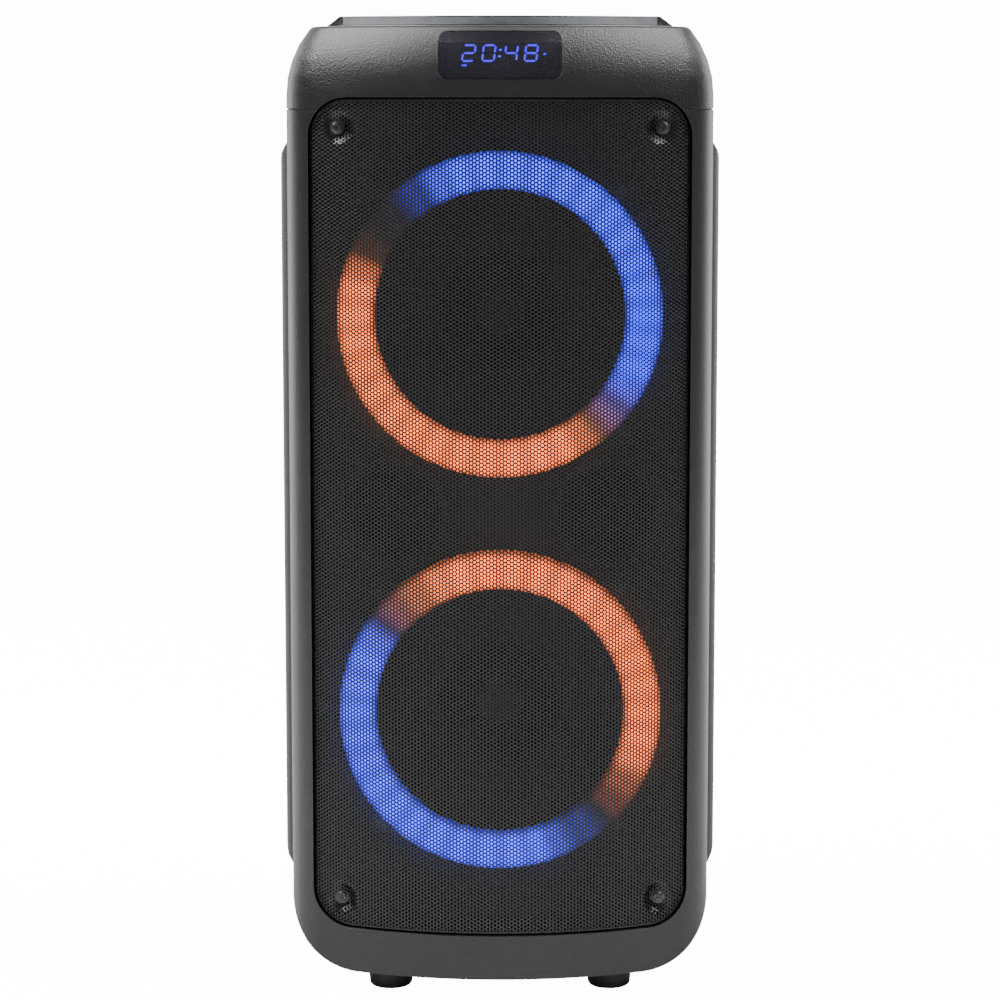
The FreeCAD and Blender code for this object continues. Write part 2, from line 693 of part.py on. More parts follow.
def make_woofer(side, level):
    plate_front = "(size.basket_depth + size.basket_sheet)"
    magnet_front = f"({plate_front} + size.plate_thickness)"
    magnet_back = f"({magnet_front} + size.magnet_height)"
    yoke_back = f"({magnet_back} + size.plate_thickness)"
    coil_outside = "(size.coil_radius + size.coil_winding)"
    spider_seat = "(size.basket_depth - size.spider_setback)"
    ledge = "(size.surround_sheet + size.ledge_gap)"
    wall_outside = "(size.basket_mouth + size.basket_sheet)"

    frame = turned(f"basket_shell_{side}", [
        ("size.basket_radius", behind("0")),
        ("size.basket_radius", behind("size.flange_thickness")),
        (wall_outside, behind("size.flange_thickness")),
        (wall_outside, behind("size.basket_straight")),
        ("size.plate_radius + size.waist_flare", behind("size.basket_waist")),
        ("size.plate_radius + size.throat_flare", behind(plate_front)),
        ("size.coil_radius + size.throat_rim", behind(plate_front)),
        ("size.coil_radius + size.throat_rim", behind("size.basket_depth")),
        ("size.plate_radius + size.throat_rim", behind("size.basket_depth")),
        ("size.plate_radius + size.spider_border", behind(f"({spider_seat} + 1.5)")),
        ("size.plate_radius - 2", behind(f"({spider_seat} + 1.5)")),
        ("size.plate_radius - 2", behind(spider_seat)),
        ("size.plate_radius + 8", behind(spider_seat)),
        ("size.plate_radius + size.waist_flare - size.basket_sheet", behind("(size.basket_waist - 1)")),
        ("size.basket_mouth", behind("(size.basket_straight - 1)")),
        ("size.basket_mouth", behind(ledge)),
        ("size.basket_mouth + size.ledge_width", behind(ledge)),
        ("size.basket_mouth + size.ledge_width", behind("0")),
    ])
    place(frame, z=level)
    ears = []
    holes = []
    screws = []
    for number, (x, z) in enumerate(ear_places(level)):
        ears.append(rod(f"ear_{side}_{number}", "size.ear_radius", behind("0"), baffle_front, x=x, z=z))
        holes.append(rod(f"ear_bore_{side}_{number}", "size.screw_shank + size.screw_hole_gap",
                         behind("-1"), f"({baffle_front} + 1)", x=x, z=z))
        head = rod(f"woofer_screw_head_{side}_{number}", "size.screw_head - 0.5",
                   behind("-size.screw_head_height"), behind("0"), x=x, z=z)
        shank = rod(f"woofer_screw_shank_{side}_{number}", "size.screw_shank", behind("0"), split, x=x, z=z)
        screws.append(fuse(f"woofer_screw_{side}_{number}", [head, shank]))
    mouth = rod(f"ear_trim_{side}", "size.basket_radius - 4", behind("-1"), f"({baffle_front} + 1)", z=level)
    lugs = cut(f"lugs_{side}", fuse(f"ears_{side}", ears), [mouth])
    windows = []
    for number in range(6):
        window = block(f"basket_window_{side}_{number}", ("-size.window_half", "size.window_half"),
                       (behind("size.window_start"), behind("size.window_end")), ("0", "size.basket_mouth"))
        window.Placement.Rotation = FreeCAD.Rotation(FreeCAD.Vector(0, 1, 0), 60 * number)
        turn = math.radians(60 * number)
        place(window, x=f"-size.window_half * {math.cos(turn):.6f}", y=behind("size.window_start"),
              z=f"{level} + size.window_half * {math.sin(turn):.6f}")
        windows.append(window)
    finished(cut(f"woofer_basket_{side}", fuse(f"basket_body_{side}", [frame, lugs]), holes + windows),
             f"woofer_basket_{side}")

    def ring(name, inner, outer, start, end):
        piece = turned(f"{name}_{side}", [(inner, behind(start)), (outer, behind(start)),
                                          (outer, behind(end)), (inner, behind(end))])
        return finished(place(piece, z=level), f"{name}_{side}")

    ring("front_plate", f"{coil_outside} + size.coil_clearance", "size.plate_radius", plate_front, magnet_front)
    ring("magnet", "size.magnet_bore", "size.magnet_radius", magnet_front, magnet_back)
    pole = "(size.coil_radius - size.coil_wall - size.coil_clearance)"
    yoke = turned(f"pole_yoke_{side}", [
        ("0", behind(plate_front)), (pole, behind(plate_front)), (pole, behind(magnet_back)),
        ("size.plate_radius", behind(magnet_back)), ("size.plate_radius", behind(yoke_back)),
        ("0", behind(yoke_back)),
    ])
    finished(place(yoke, z=level), f"pole_yoke_{side}")

    neck = "size.coil_radius"
    slope = f"(size.cone_depth / (size.cone_radius - {neck}))"
    cone = turned(f"cone_{side}", [
        ("size.cone_radius + 2", behind(ledge)),
        ("size.cone_radius + 2", behind(f"({ledge} + size.cone_sheet)")),
        (neck, behind(f"({ledge} + size.cone_sheet + size.cone_depth)")),
        (neck, behind(f"({ledge} + size.cone_depth)")),
        ("size.cone_radius", behind(ledge)),
    ])
    finished(place(cone, z=level), f"cone_{side}")
    seat = f"({ledge} + (size.cone_radius - size.cap_radius) * {slope} - 0.3)"
    dome_radius = "((size.cap_radius ^ 2 + size.cap_dome ^ 2) / (2 * size.cap_dome))"
    cap = turned(f"dust_cap_{side}", [
        ("0", behind(f"({seat} - size.cap_dome)"), dome_radius, 1),
        ("size.cap_radius", behind(seat)),
        ("size.cap_radius - size.cone_sheet", behind(seat), f"({dome_radius} - size.cone_sheet)", -1),
        ("0", behind(f"({seat} - size.cap_dome + size.cone_sheet)")),
    ])
    finished(place(cap, z=level), f"dust_cap_{side}")
    coil = turned(f"voice_coil_{side}", [
        ("size.coil_radius - size.coil_wall", behind(f"({seat} + 1)")),
        (neck, behind(f"({seat} + 1)")),
        (neck, behind(f"({plate_front} - 4)")),
        (coil_outside, behind(f"({plate_front} - 4)")),
        (coil_outside, behind(f"({magnet_front} + 4)")),
        ("size.coil_radius - size.coil_wall", behind(f"({magnet_front} + 4)")),
    ])
    finished(place(coil, z=level), f"voice_coil_{side}")

    roll = "(size.basket_mouth - 0.5 - size.roll_half_width)"
    lip = "(size.cone_radius + 2)"
    surround = turned(f"surround_{side}", [
        (f"{lip} - 4", behind("size.ledge_gap")),
        (f"{lip} - 4", behind(ledge)),
        (f"{roll} - size.roll_half_width - 0.5", behind(ledge), "(size.roll_radius + size.surround_sheet)", 1),
        (f"{roll} + size.roll_half_width + 0.5", behind(ledge)),
        ("size.basket_mouth + size.ledge_width - size.ledge_gap", behind(ledge)),
        ("size.basket_mouth + size.ledge_width - size.ledge_gap", behind("size.ledge_gap")),
        (f"{roll} + size.roll_half_width", behind("size.ledge_gap"), "size.roll_radius", -1),
        (f"{roll} - size.roll_half_width", behind("size.ledge_gap")),
    ])
    finished(place(surround, z=level), f"surround_{side}")
    spider = turned(f"spider_{side}", [
        (neck, behind(f"({spider_seat} - 1)")),
        ("size.plate_radius + size.spider_border", behind(f"({spider_seat} - 1)")),
        ("size.plate_radius + size.spider_border", behind(spider_seat)),
        (neck, behind(spider_seat)),
    ])
    finished(place(spider, z=level), f"spider_{side}")

    make_light_ring(side, level)
    return screws


# Light ring: a milky channel over the basket's rim, with the LED board inside it
def make_light_ring(side, level):
    inner = "size.ring_hole"
    outer = "size.ring_radius"
    edge = "size.ring_edge"
    inside = f"({ring_face} + size.ring_front)"
    board_front = f"({inside} + size.led_gap)"
    board_back = f"({board_front} + size.board_thickness)"
    diffuser = turned(f"light_ring_{side}", [
        (f"{inner} + {edge}", ring_face),
        (inner, f"{ring_face} + {edge}"),
        (inner, board_back),
        (f"{inner} + size.ring_skirt", board_back),
        (f"{inner} + size.ring_skirt", inside),
        (f"{outer} - size.ring_skirt", inside),
        (f"{outer} - size.ring_skirt", flange_front),
        (outer, flange_front),
        (outer, f"{ring_face} + {edge}", edge, -1),
        (f"{outer} - {edge}", ring_face),
    ])
    finished(place(diffuser, z=level), f"light_ring_{side}")
    board = turned(f"led_board_{side}", [
        (f"{inner} + size.ring_skirt", board_front),
        (f"{outer} - size.ring_skirt", board_front),
        (f"{outer} - size.ring_skirt", board_back),
        (f"{inner} + size.ring_skirt", board_back),
    ])
    led_boards.append(place(board, z=level))


def make_ports():
    for side, sign in (("left", "-"), ("right", "")):
        wall = "(size.port_bore + size.port_wall)"
        flare = "(size.port_flare - size.port_bore)"
        tube = turned(f"port_tube_{side}", [
            ("size.port_flare", f"{baffle_front} - 3"),
            ("size.port_flare", baffle_front),
            (wall, baffle_front),
            (wall, f"{baffle_front} + size.port_length"),
            ("size.port_bore", f"{baffle_front} + size.port_length"),
            ("size.port_bore", f"{baffle_front} - 3 + {flare}", flare, 1),
        ])
        finished(place(tube, x=f"{sign}size.port_offset", z=woofer_middle), f"port_tube_{side}")


# Control deck: a raised rim round a sunken tray, with the trim strip on its front

def make_deck():
    low = "size.deck_inset"
    high = "(size.deck_inset + size.rim_slope)"
    tray = f"({high} + size.rim_width)"
    rim_sections = []
    for name, inset, height in (("low", low, body_top), ("high", high, rim_top)):
        sketch = doc.addObject("Sketcher::SketchObject", f"rim_section_{name}")
        draw(sketch, square_plan(inset))
        rim_sections.append(place(sketch, z=height))
    rim = doc.addObject("Part::Loft", "deck_rim")
    rim.Sections = rim_sections
    rim.Solid = True
    rim.Ruled = True
    tub = prism("deck_tub", square_plan("(size.deck_inset + size.deck_ledge)"), tray_under, body_top)
    pocket = prism("deck_pocket", square_plan(tray), tray_top, f"{rim_top} + {margin}")
    slots = [pocket]
    trim_low = f"({body_top} + (size.rim_rise - size.trim_height) / 2)"
    trim_high = f"({trim_low} + size.trim_height)"
    strip = block("trim_zone", ("-size.trim_half_width", "size.trim_half_width"),
                  (f"({front} - {margin})", "0"), (trim_low, trim_high))
    backing = doc.addObject("Part::Loft", "trim_backing")
    backing_sections = []
    for name, inset, height in (("low", low, body_top), ("high", high, rim_top)):
        sketch = doc.addObject("Sketcher::SketchObject", f"trim_section_{name}")
        draw(sketch, square_plan(f"({inset} + size.trim_depth)"))
        backing_sections.append(place(sketch, z=height))
    backing.Sections = backing_sections
    backing.Solid = True
    backing.Ruled = True
    trim = common("trim_strip", cut("rim_skin", rim, [backing]), strip)
    finished(trim, "deck_trim")
    for number, (x, y) in enumerate(button_places()):
        slots.append(rod(f"button_hole_{number}", "size.button_radius + size.button_gap",
                         f"({tray_under} - 1)", f"({tray_top} + 1)", x=x, y=y, axis="Z"))
    slots.append(rod("shaft_hole", "size.shaft_radius + size.fit_gap", f"({tray_under} - 1)",
                     f"({tray_top} + 1)", y="size.knob_row", axis="Z"))
    slots.append(strip_slot("trim_slot", trim))
    finished(cut("control_deck", fuse("deck_solid", [rim, tub]), slots), "control_deck")


def strip_slot(name, trim):
    return group(name, [trim])


button_names = ["power_button", "previous_button", "play_button", "next_button", "light_button"]


def button_places():
    middle = (len(button_names) - 1) / 2
    return [(f"{number - middle} * size.button_pitch", "size.button_row") for number in range(len(button_names))]


def make_controls():
    flange_top = f"({tray_under} - size.button_gap)"
    flange_low = f"({flange_top} - size.button_flange)"
    board_low = f"({board_top} - size.board_thickness)"
    switch_top = f"({flange_low} - 2 * size.button_travel - 2)"
    stem_low = f"({switch_top} + size.button_travel + 0.2)"
    for name, (x, y) in zip(button_names, button_places()):
        button = turned(name, [
            ("0", stem_low),
            ("2", stem_low),
            ("2", flange_low),
            ("size.button_radius + 1.5", flange_low),
            ("size.button_radius + 1.5", flange_top),
            ("size.button_radius", flange_top),
            ("size.button_radius", f"{tray_top} + size.button_rise - 0.6"),
            ("size.button_radius - 0.6", f"{tray_top} + size.button_rise"),
            ("0", f"{tray_top} + size.button_rise"),
        ], axis="Z")
        finished(place(button, x=x, y=y), name)
    switches = []
    for number, (x, y) in enumerate(button_places()):
        half = "size.switch_size / 2"
        switches.append(block(f"switch_{number}", (f"{x} - {half}", f"{x} + {half}"),
                              (f"{y} - {half}", f"{y} + {half}"), (board_top, switch_top)))
    edge = f"({len(button_names) / 2} * size.button_pitch)"
    board = block("control_board_plate", (f"-{edge}", edge), ("size.button_row - 12", "size.knob_row + 15"),
                  (board_low, board_top))
    finished(group("control_board", [board] + switches), "control_board")

    body_high = f"({tray_under} - 2)"
    half = "6.5"
    case = block("encoder_case", (f"-{half}", half), (f"size.knob_row - {half}", f"size.knob_row + {half}"),
                 (board_top, body_high))
    shaft_low = f"({board_top} + 3)"
    bore = rod("encoder_bore", "size.shaft_radius + size.running_gap", shaft_low, f"({body_high} + 1)",
               y="size.knob_row", axis="Z")
    finished(cut("volume_encoder", case, [bore]), "volume_encoder")
    knob_low = f"({tray_top} + 0.6)"
    knob_top = f"({knob_low} + size.knob_height)"
    knob = turned("volume_knob", [
        ("0", f"{shaft_low} + 0.2"),
        ("size.shaft_radius", f"{shaft_low} + 0.2"),
        ("size.shaft_radius", knob_low),
        ("size.knob_radius", knob_low),
        ("size.knob_radius", f"{knob_top} - 1.5", "1.5", 1),
        ("size.knob_radius - 1.5", knob_top),
        ("size.knob_radius - 4", knob_top),
        ("size.knob_radius - 5", f"{knob_top} - 0.8"),
        ("0", f"{knob_top} - 0.8"),
    ], axis="Z")
    finished(place(knob, y="size.knob_row"), "volume_knob")


# Display: a smoked lens let into the leaning front, with the digit module behind it

def window_prism(name, outset):
    low = f"({seam} + size.window_base - ({outset}))"
    high = f"({low} + size.window_height + 2 * ({outset}))"
    outline = rectangle(f"(size.window_width / 2 + ({outset}))", low, high,
                        f"(size.window_corner + ({outset}))")
    return prism(name, outline, f"({front} - {margin})", f"({split})", axis="Y")


def make_display():
    skin_under = leaning_top("lens_under", "size.lens_thickness", f"({seam} - 1)")
    skin_outside = leaning_top("lens_outside", "0", seam)
    skin = cut("lens_skin", skin_outside, [skin_under])
    finished(common("display_lens", skin, window_prism("lens_window", "0")), "display_lens")
    module = doc.addObject("Part::Box", "display_module")
    for side, expression in (("Length", "size.module_width"), ("Width", "size.module_depth"),
                             ("Height", "size.module_height")):
        module.setExpression(side, expression)
    module.Placement.Rotation = FreeCAD.Rotation(FreeCAD.Vector(-1, 0, 0), sizes["module_lean"])
    module.setExpression("Placement.Rotation.Angle", "size.module_lean")
    low = f"({seam} + size.window_base + (size.window_height - size.module_height) / 2)"
    place(module, x="-size.module_width / 2", y=f"{front} + size.lens_thickness + size.module_setback", z=low)
    finished(module, "display_module")


# Side pads of rubber, with a moulded grip cup let into each

def side_sign(side):
    return "-" if side == "left" else ""


def grip_box(name, side, inset, depth, reach):
    start = f"({front} + size.grip_start + {inset})"
    end = f"({front} + size.grip_start + size.grip_length - {inset})"
    low = f"({body_bottom} + size.grip_rise + {inset})"
    high = f"({body_bottom} + size.grip_rise + size.grip_height - {inset})"
    inner = f"({half_width} - {depth})"
    outer = f"({half_width} + {reach})"
    span = (inner, outer) if side == "right" else (f"-{outer}", f"-{inner}")
    return block(name, span, (start, end), (low, high))


def grip_cutouts():
    return [grip_box(f"grip_cutout_{side}", side, "(-size.fit_gap)", "(size.grip_depth + size.fit_gap)", margin)
            for side in ("left", "right")]


def make_sides():
    for side in ("left", "right"):
        low = f"({body_bottom} + size.pad_base)"
        high = f"({low} + size.pad_height)"
        start = f"({front} + size.pad_start)"
        end = f"({start} + size.pad_length)"
        inner = half_width
        outer = f"({half_width} + size.pad_thickness)"
        taper = "size.pad_taper"
        minus = side_sign(side)
        curve = f"((size.pad_thickness ^ 2 + {taper} ^ 2) / (2 * size.pad_thickness))"
        turn = -1 if minus else 1
        upright = [(f"{minus}{inner}", low, curve, turn), (f"{minus}{outer}", f"{low} + {taper}"),
                   (f"{minus}{outer}", f"{high} - {taper}", curve, turn), (f"{minus}{inner}", high)]
        across = [(f"{minus}{inner}", start, curve, turn), (f"{minus}{outer}", f"{start} + {taper}"),
                  (f"{minus}{outer}", f"{end} - {taper}", curve, turn), (f"{minus}{inner}", end)]
        face = prism(f"pad_face_{side}", upright, start, end, axis="Y")
        top = prism(f"pad_top_{side}", across, low, high)
        pad = common(f"pad_solid_{side}", face, top)
        window = grip_box(f"pad_window_{side}", side, "(size.grip_wall)", "1", margin)
        finished(cut(f"side_pad_{side}", pad, [window]), f"side_pad_{side}")
        cup = grip_box(f"cup_outside_{side}", side, "0", "size.grip_depth", "0")
        hollow = grip_box(f"cup_inside_{side}", side, "size.grip_wall",
                          "(size.grip_depth - size.grip_wall)", "1")
        finished(cut(f"grip_cup_{side}", cup, [hollow]), f"grip_cup_{side}")


# Rubber feet, each held by a screw in its recess

def foot_places(which):
    y = f"({front} + size.foot_setback)" if which == "front" else f"({back} - size.foot_setback)"
    return [(f"{sign}size.foot_offset", y) for sign in ("-", "")]


def foot_screw_holes(which):
    return [rod(f"{which}_foot_hole_{number}", "size.screw_shank + size.screw_hole_gap", f"({body_bottom} - 1)",
                f"({body_bottom} + size.cabinet_wall + 1)", x=x, y=y, axis="Z")
            for number, (x, y) in enumerate(foot_places(which))]


def make_feet():
    feet = []
    screws = []
    recess = "(size.foot_height / 2)"
    wide = "(size.screw_head + 1.5)"
    hole = "(size.screw_shank + size.screw_hole_gap)"
    for which in ("front", "rear"):
        for number, (x, y) in enumerate(foot_places(which)):
            foot = turned(f"foot_{which}_{number}", [
                (wide, "0"), ("size.foot_radius - 2.5", "0"), ("size.foot_radius - 1", "2"),
                ("size.foot_radius", body_bottom), (hole, body_bottom), (hole, recess), (wide, recess),
            ], axis="Z")
            feet.append(place(foot, x=x, y=y))
            head = rod(f"foot_screw_head_{which}_{number}", "size.screw_head",
                       f"({recess} - size.screw_head_height)", recess, x=x, y=y, axis="Z")
            shank = rod(f"foot_screw_shank_{which}_{number}", "size.screw_shank", recess,
                        f"({body_bottom} + size.cabinet_wall)", x=x, y=y, axis="Z")
            screws.append(fuse(f"foot_screw_{which}_{number}", [head, shank]))
    finished(group("rubber_feet", feet), "rubber_feet")
    finished(group("foot_screws", screws), "foot_screws")


# Rear panel: a recessed tray that carries the sockets, the switch and two small knobs

def panel_block(name, inset, start, end):
    half = f"(size.panel_width / 2 - ({inset}))"
    return block(name, (f"-{half}", half), (start, end),
                 (f"({panel_bottom} + ({inset}))", f"({panel_bottom} + size.panel_height - ({inset}))"))


def panel_cutout():
    return panel_block("panel_cutout", "(-size.fit_gap)", f"({back} - size.cabinet_wall - 1)",
                       f"({back} + 1)")


panel_row_low = f"({panel_bottom} + size.panel_height * size.panel_low_row)"
panel_row_high = f"({panel_bottom} + size.panel_height * size.panel_high_row)"
inlet_x = "(-size.panel_width * size.panel_side_column)"
rocker_x = "(size.panel_width * size.panel_side_column)"
jack_places = [(inlet_x, panel_row_high), ("(-size.panel_width * size.panel_near_column)", panel_row_high)]
small_knobs = [("mic_knob", "(size.panel_width * 0.1)"), ("echo_knob", "(size.panel_width * 0.3)")]
usb_x = "0"
panel_back = f"({panel_face} - size.panel_wall)"


def centred(name, x, half_x, z, half_z, start, end):
    return block(name, (f"{x} - {half_x}", f"{x} + {half_x}"), (start, end),
                 (f"{z} - {half_z}", f"{z} + {half_z}"))


def make_rear_panel():
    outside = panel_block("panel_outside", "0", panel_back, back)
    inside = panel_block("panel_inside", "size.panel_wall", panel_face, f"({back} + 1)")
    through = (f"({panel_back} - 1)", f"({panel_face} + 1)")
    gap = "size.fit_gap"
    holes = [
        inside,
        centred("inlet_hole", inlet_x, f"(size.inlet_width / 2 + {gap})", panel_row_low,
                f"(size.inlet_height / 2 + {gap})", *through),
        centred("rocker_hole", rocker_x, f"(size.rocker_width / 2 + {gap})", panel_row_low,
                f"(size.rocker_length / 2 + 0.8)", *through),
        centred("usb_hole", usb_x, f"(size.usb_width / 2 + 1 + {gap})", panel_row_low,
                f"(size.usb_height / 2 + 1 + {gap})", *through),
    ]
    for number, (x, z) in enumerate(jack_places):
        holes.append(rod(f"jack_hole_{number}", f"size.jack_radius + {gap}", *through, x=x, z=z))
    for name, x in small_knobs:
        holes.append(rod(f"{name}_hole", f"size.shaft_radius + {gap}", *through, x=x, z=panel_row_high))
    finished(cut("rear_panel", outside, holes), "rear_panel")

    socket_start = f"({panel_face} - size.inlet_socket)"
    case = centred("inlet_case", inlet_x, "size.inlet_width / 2", panel_row_low, "size.inlet_height / 2",
                   f"({panel_face} - size.inlet_depth)", panel_face)
    lobes = [rod(f"inlet_lobe_{sign}", "size.socket_lobe", socket_start, f"({panel_face} + 1)",
                 x=f"{inlet_x} {sign} size.pin_pitch / 2", z=panel_row_low) for sign in ("-", "+")]
    lobes.append(centred("inlet_waist", inlet_x, "size.pin_pitch / 2", panel_row_low, "(size.socket_lobe - 0.4)",
                         socket_start, f"({panel_face} + 1)"))
    pins = [rod(f"inlet_pin_{sign}", "size.pin_radius", f"({socket_start} - 2)", f"({socket_start} + size.pin_length)",
                x=f"{inlet_x} {sign} size.pin_pitch / 2", z=panel_row_low) for sign in ("-", "+")]
    finished(fuse("mains_inlet", [cut("inlet_body", case, lobes)] + pins), "mains_inlet")

    jacks = []
    for number, (x, z) in enumerate(jack_places):
        barrel = rod(f"jack_barrel_{number}", "size.jack_radius", f"({panel_face} - size.jack_length)",
                     f"({panel_face} + 2)", x=x, z=z)
        bore = rod(f"jack_bore_{number}", "size.jack_bore", f"({panel_face} - size.jack_length + 2)",
                   f"({panel_face} + 3)", x=x, z=z)
        jacks.append(cut(f"mic_jack_{number}", barrel, [bore]))
    finished(group("mic_jacks", jacks), "mic_jacks")

    usb_shell = centred("usb_shell", usb_x, "(size.usb_width / 2 + 1)", panel_row_low,
                        "(size.usb_height / 2 + 1)", f"({panel_face} - 14)", f"({panel_face} + 0.5)")
    usb_mouth = centred("usb_mouth", usb_x, "size.usb_width / 2", panel_row_low, "size.usb_height / 2",
                        f"({panel_face} - 12)", f"({panel_face} + 2)")
    tongue = centred("usb_tongue", usb_x, "(size.usb_width / 2 - 0.6)", f"({panel_row_low} + 0.9)", "0.9",
                     f"({panel_face} - 13)", f"({panel_face} - 1)")
    finished(fuse("usb_socket", [cut("usb_case", usb_shell, [usb_mouth]), tongue]), "usb_socket")

    for name, x in small_knobs:
        low = f"({panel_face} + 0.5)"
        knob = turned(name, [
            ("0", f"{panel_face} - 12"),
            ("size.shaft_radius", f"{panel_face} - 12"),
            ("size.shaft_radius", low),
            ("size.small_knob_radius", low),
            ("size.small_knob_radius - 1", f"{low} + size.small_knob_height"),
            ("0", f"{low} + size.small_knob_height"),
        ])
        finished(place(knob, x=x, z=panel_row_high), name)

    half = "(size.rocker_length / 2)"
    rise = f"({half} * tan(size.rocker_tilt))"
    rocker = padded("power_rocker", [
        ("-5", f"-{half}"),
        ("-5", half),
        (f"1 + {rise}", half),
        ("1", "0"),
        (f"1 + {rise}", f"-{half}"),
    ], "size.rocker_width", axis="X")
    rocker.Placement.Rotation = FreeCAD.Rotation(FreeCAD.Vector(1, 0, 0), sizes["rocker_tilt"])
    rocker.setExpression("Placement.Rotation.Angle", "size.rocker_tilt")
    place(rocker, x=f"{rocker_x} - size.rocker_width / 2", y=f"{panel_face} - 1", z=panel_row_low)
    finished(rocker, "power_rocker")


# Electronics inside the cabinet

def make_electronics():
    board_y = f"({panel_back} - size.board_setback)"
    middle = f"({panel_bottom} + size.panel_height / 2)"
    half = "(size.panel_width / 2 - size.board_border)"
    board = block("amplifier_board", (f"-{half}", half), (f"{board_y} - size.board_thickness", board_y),
                  (f"{panel_bottom} + 6", f"{panel_bottom} + size.panel_height - 6"))
    finished(board, "amplifier_board")
    sink_front = f"({board_y} - size.board_thickness - size.sink_depth)"
    base = block("sink_base", ("-size.sink_width / 2", "size.sink_width / 2"),
                 (f"{board_y} - size.board_thickness - 4", f"{board_y} - size.board_thickness"),
                 (f"{middle} - size.sink_height / 2", f"{middle} + size.sink_height / 2"))
    fins = [base]
    count = int(sizes["sink_width"] // sizes["fin_pitch"])
    for number in range(count):
        x = f"(-size.sink_width / 2 + {number + 0.5} * size.fin_pitch)"
        fins.append(block(f"sink_fin_{number}", (f"{x} - size.fin_width / 2", f"{x} + size.fin_width / 2"),
                          (sink_front, f"{board_y} - size.board_thickness - 3"),
                          (f"{middle} - size.sink_height / 2", f"{middle} + size.sink_height / 2")))
    finished(fuse("heat_sink", fins), "heat_sink")

    floor = f"({body_bottom} + size.cabinet_wall)"
    back_edge = f"({back} - size.cabinet_wall - size.battery_setback)"
    front_edge = f"({back_edge} - size.battery_depth)"
    lift = f"({floor} + size.bracket_sheet)"
    pack = block("battery_pack", ("-size.battery_width / 2", "size.battery_width / 2"),
                 (front_edge, back_edge), (floor, f"{floor} + size.battery_height"))
    finished(pack, "battery_pack")
    wide = f"(size.battery_width / 2 + size.bracket_sheet)"
    top = f"({floor} + size.battery_height + size.bracket_sheet)"
    strap_y = f"({front_edge} + size.battery_depth / 2)"
    strap_width = (f"{strap_y} - size.strap_half_width", f"{strap_y} + size.strap_half_width")
    strap = block("strap_outside", (f"-{wide}", wide), strap_width, (floor, top))
    tabs = block("strap_tabs", (f"-{wide} - size.strap_half_width", f"{wide} + size.strap_half_width"),
                 strap_width, (floor, lift))
    inside = block("strap_inside", ("-size.battery_width / 2", "size.battery_width / 2"),
                   (f"{strap_y} - size.strap_half_width - 1", f"{strap_y} + size.strap_half_width + 1"),
                   (f"{floor} - 1", f"{floor} + size.battery_height"))
    finished(cut("battery_strap", fuse("strap_solid", [strap, tabs]), [inside]), "battery_strap")


# Speaker leads: from the amplifier board forward, up or down, and forward to each driver's frame
def make_leads():
    board_y = f"({panel_back} - size.board_setback - size.board_thickness)"
    middle = f"({panel_bottom} + size.panel_height / 2)"
    bend = "size.lead_bend"
    turn_y = f"({baffle_front} + size.port_length + 10)"
    leads = []
    for side, level in woofer_places():
        upper = side == "upper"
        x = "(size.panel_width / 2 - 12)" if upper else "(size.panel_width / 2 - 20)"
        start_z = f"({middle} + {'20' if upper else '-6'})"
        turn_to = level if upper else f"({level} + 40)"
        rise = 1 if value(turn_to) > value(start_z) else -1
        step = f"{'+' if rise > 0 else '-'} {bend}"
        back_step = f"{'-' if rise > 0 else '+'} {bend}"
        path = doc.addObject("Sketcher::SketchObject", f"lead_path_{side}")
        draw(path, [
            (board_y, start_z),
            (f"{turn_y} + {bend}", start_z, bend, -rise),
            (turn_y, f"{start_z} {step}"),
            (turn_y, f"{turn_to} {back_step}", bend, rise),
            (f"{turn_y} - {bend}", turn_to),
            (behind("36"), turn_to),
        ], closed=False)
        path.Placement.Rotation = FreeCAD.Rotation(FreeCAD.Vector(1, 1, 1), 120)
        place(path, x=x)
        section = doc.addObject("Part::Circle", f"lead_section_{side}")
        section.setExpression("Radius", "size.lead_radius")
        section.Placement.Rotation = FreeCAD.Rotation(FreeCAD.Vector(1, 0, 0), 90)
        place(section, x, board_y, start_z)
        lead = doc.addObject("Part::Sweep", f"lead_{side}")
        lead.Sections = [section]
        lead.Spine = (path, [f"Edge{number}" for number in range(1, 6)])
        lead.Solid = True
        leads.append(lead)
    finished(group("speaker_leads", leads), "speaker_leads")


make_casing()
make_grille()
wood_screws = baffle_screws()
for woofer_side, woofer_level in woofer_places():
    wood_screws += make_woofer(woofer_side, woofer_level)
finished(group("wood_screws", wood_screws), "wood_screws")
finished(group("led_boards", led_boards), "led_boards")
make_ports()
make_deck()
make_controls()
make_display()
make_sides()
make_feet()
make_rear_panel()
make_electronics()
make_leads()
doc.recompute()

failed = [thing.Label for thing in doc.Objects if "Invalid" in thing.State or "Error" in thing.State]
if failed:
    raise RuntimeError(f"These did not compute: {failed}")
os.makedirs("parts", exist_ok=True)
broken = [piece.Label for piece in sub_parts if piece.Shape.isNull() or not piece.Shape.isValid()]
if broken:
    raise RuntimeError(f"These have no valid shape: {broken}")
for piece in sub_parts:
    piece.Shape.exportStep(f"parts/{piece.Label}.step")
    print(piece.Label, len(piece.Shape.Solids), round(piece.Shape.Volume / 1000, 2))
print(len(sub_parts), "sub-parts")
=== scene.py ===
import math

import bmesh
import bpy
from mathutils import Matrix, Vector


